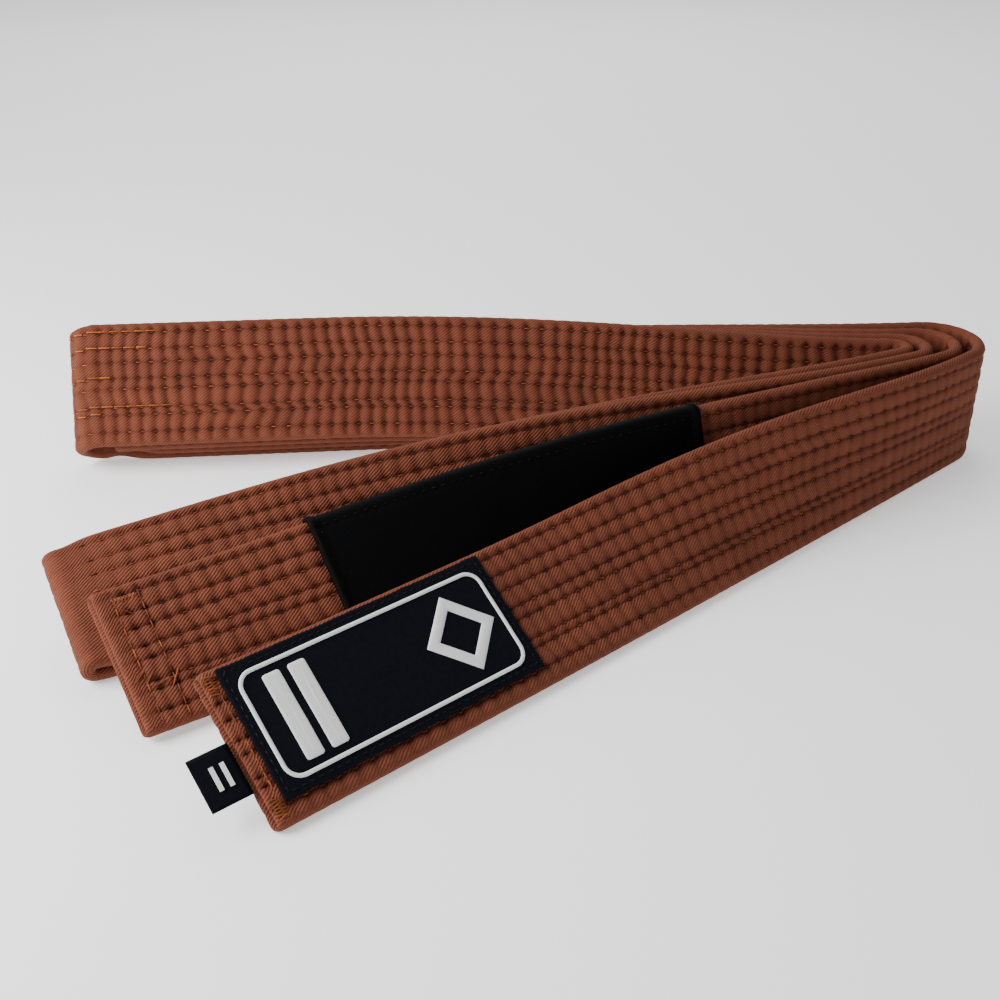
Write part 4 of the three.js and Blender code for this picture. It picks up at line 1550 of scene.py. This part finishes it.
@dataclass
class SizeTab:
    """A short loop of black ribbon that comes out of the seam at the label end."""

    finishes: Finishes
    belt: FoldedBelt
    low: float = -11.0
    width: float = 14.5
    root: float = 2.1
    length: float = 11.5
    ply: float = 0.24
    half: float = 0.3

    def build(self) -> None:
        """Makes the ribbon and gives its two marks their finish."""
        outer, inner = self.profile()
        loop = np.concatenate([outer, inner[::-1]])
        across = np.linspace(0, self.width, 16)
        strip = self.belt.label
        end = strip.run.at(np.array([strip.length()]))
        c, t, e, n = end.c[0], end.t[0], end.e[0], end.n[0]
        points = (c + t * loop[:, None, 0:1] + n * loop[:, None, 1:2]
                  + e * (self.low + across)[None, :, None])
        rings, count = len(loop), len(across)
        i = np.arange(rings)[:, None]
        k = np.arange(count - 1)[None]
        ahead = (i + 1) % rings
        quads = np.stack(np.broadcast_arrays(i * count + k, i * count + k + 1,
                                             ahead * count + k + 1, ahead * count + k), -1)
        quads = quads.reshape(-1, 4)
        half = len(outer)
        rims = []
        for edge, flip in ((0, False), (count - 1, True)):
            for a in range(half - 1):
                q = [a, a + 1, rings - 2 - a, rings - 1 - a]
                q = [x * count + edge for x in q]
                rims.append(q[::-1] if flip else q)
        quads = np.concatenate([quads, np.array(rims)])
        steps = np.linalg.norm(np.diff(loop, axis=0, append=loop[:1]), axis=1)
        u = np.concatenate([[0], np.cumsum(steps)[:-1]])
        flat = np.stack(np.broadcast_arrays(u[:, None], across[None]), -1).reshape(-1, 2) * MM
        obj = write_mesh("size_tab_ribbon", points.reshape(-1, 3), quads, [],
                         flat[quads.ravel()])
        self.face_out(obj)
        dress(obj, self.finishes.damask)
        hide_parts("size_tab")
        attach(obj, TAB_BODY)
        for name in ("size_tab_mark_1", "size_tab_mark_2"):
            bpy.data.objects[name].data.materials.clear()
            bpy.data.objects[name].data.materials.append(self.finishes.white)

    def profile(self) -> tuple[np.ndarray, np.ndarray]:
        """Outer and inner line of the folded ribbon, seen from its side."""
        tip = self.root + self.length
        angle = np.linspace(-math.pi / 2, math.pi / 2, 9)
        lines = []
        for half in (self.half, self.half - self.ply):
            run = np.linspace(self.root, tip - self.half, 8)[:-1]
            low = np.stack([run, np.full(7, -half)], -1)
            bend = np.stack([tip - self.half + half * np.cos(angle), half * np.sin(angle)], -1)
            high = np.stack([run[::-1], np.full(7, half)], -1)
            lines.append(np.concatenate([low, bend, high]))
        return lines[0], lines[1]

    @staticmethod
    def face_out(obj: bpy.types.Object) -> None:
        """Turns every face outwards."""
        mesh = bmesh.new()
        mesh.from_mesh(obj.data)
        bmesh.ops.recalc_face_normals(mesh, faces=mesh.faces)
        mesh.to_mesh(obj.data)
        mesh.free()


# ---------------------------------------------------------------- studio


@dataclass
class Studio:
    """A pale floor, soft light and the camera."""

    eye: tuple[float, float, float] = (-9.79, -352.78, 227.6)
    pitch: float = 60.8
    lens: float = 46.8
    floor_size: float = 6.0
    floor_glow: float = 0.5
    sky: float = 0.38

    def build(self) -> None:
        """Makes everything that isn't the belt."""
        self.floor()
        self.lamp("key", (-0.52, -0.14, 0.38), (-0.02, 0.0, 0.0), 0.42, 7.0)
        self.lamp("back", (-0.1, 0.95, 0.8), (0.0, 0.05, 0.0), 0.9, 6.0)
        world = bpy.data.worlds.new("studio")
        bpy.context.scene.world = world
        world.use_nodes = True
        back = world.node_tree.nodes["Background"]
        back.inputs["Color"].default_value = (1, 1, 1, 1)
        back.inputs["Strength"].default_value = self.sky
        data = bpy.data.cameras.new("camera")
        data.lens, data.sensor_width = self.lens, 36.0
        data.clip_start, data.clip_end = 0.01, 20.0
        camera = bpy.data.objects.new("camera", data)
        camera.location = [x * MM for x in self.eye]
        camera.rotation_euler = (math.radians(self.pitch), 0, 0)
        bpy.context.scene.collection.objects.link(camera)
        bpy.context.scene.camera = camera

    def floor(self) -> None:
        """The pale floor."""
        h = self.floor_size / 2
        mesh = bpy.data.meshes.new("floor")
        mesh.from_pydata([(-h, -h, 0), (h, -h, 0), (h, h, 0), (-h, h, 0)], [], [(0, 1, 2, 3)])
        floor = bpy.data.objects.new("floor", mesh)
        bpy.context.scene.collection.objects.link(floor)
        material, _tree, main = shader("studio_paper")
        main.inputs["Base Color"].default_value = linear("#fbfbfb")
        main.inputs["Roughness"].default_value = 0.9
        main.inputs["Specular IOR Level"].default_value = 0.1
        main.inputs["Emission Color"].default_value = (1, 1, 1, 1)
        main.inputs["Emission Strength"].default_value = self.floor_glow
        mesh.materials.append(material)

    @staticmethod
    def lamp(name: str, place: tuple, aim: tuple, size: float, power: float) -> None:
        """A square soft light that points at a place."""
        data = bpy.data.lights.new(name, "AREA")
        data.size, data.energy = size, power
        lamp = bpy.data.objects.new(name, data)
        lamp.location = place
        lamp.rotation_euler = (Vector(aim) - Vector(place)).to_track_quat("-Z", "Y").to_euler()
        bpy.context.scene.collection.objects.link(lamp)


def dress_nodes(finishes: Finishes, frame: dict) -> None:
    """Gives every CAD node that stays its own finish."""
    for name, obj in frame["nodes"].items():
        if obj.hide_render:
            continue
        material = finishes.canvas if "core" in name else finishes.white
        obj.data.materials.clear()
        obj.data.materials.append(material)
        LOG.info("kept %s", name)


def main() -> None:
    """Builds the belt in order."""
    logging.basicConfig(level=logging.INFO, format="%(message)s")
    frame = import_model()
    Studio().build()
    finishes = Finishes.make()
    belt = FoldedBelt(finishes)
    belt.build()
    for part in (PlainEnd(finishes, belt), RankBar(finishes, belt), WovenLabel(finishes, belt),
                 SizeTab(finishes, belt)):
        part.build()
        LOG.info("made %s", type(part).__name__)
    dress_nodes(finishes, frame)
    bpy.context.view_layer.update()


if __name__ == "__main__":
    main()
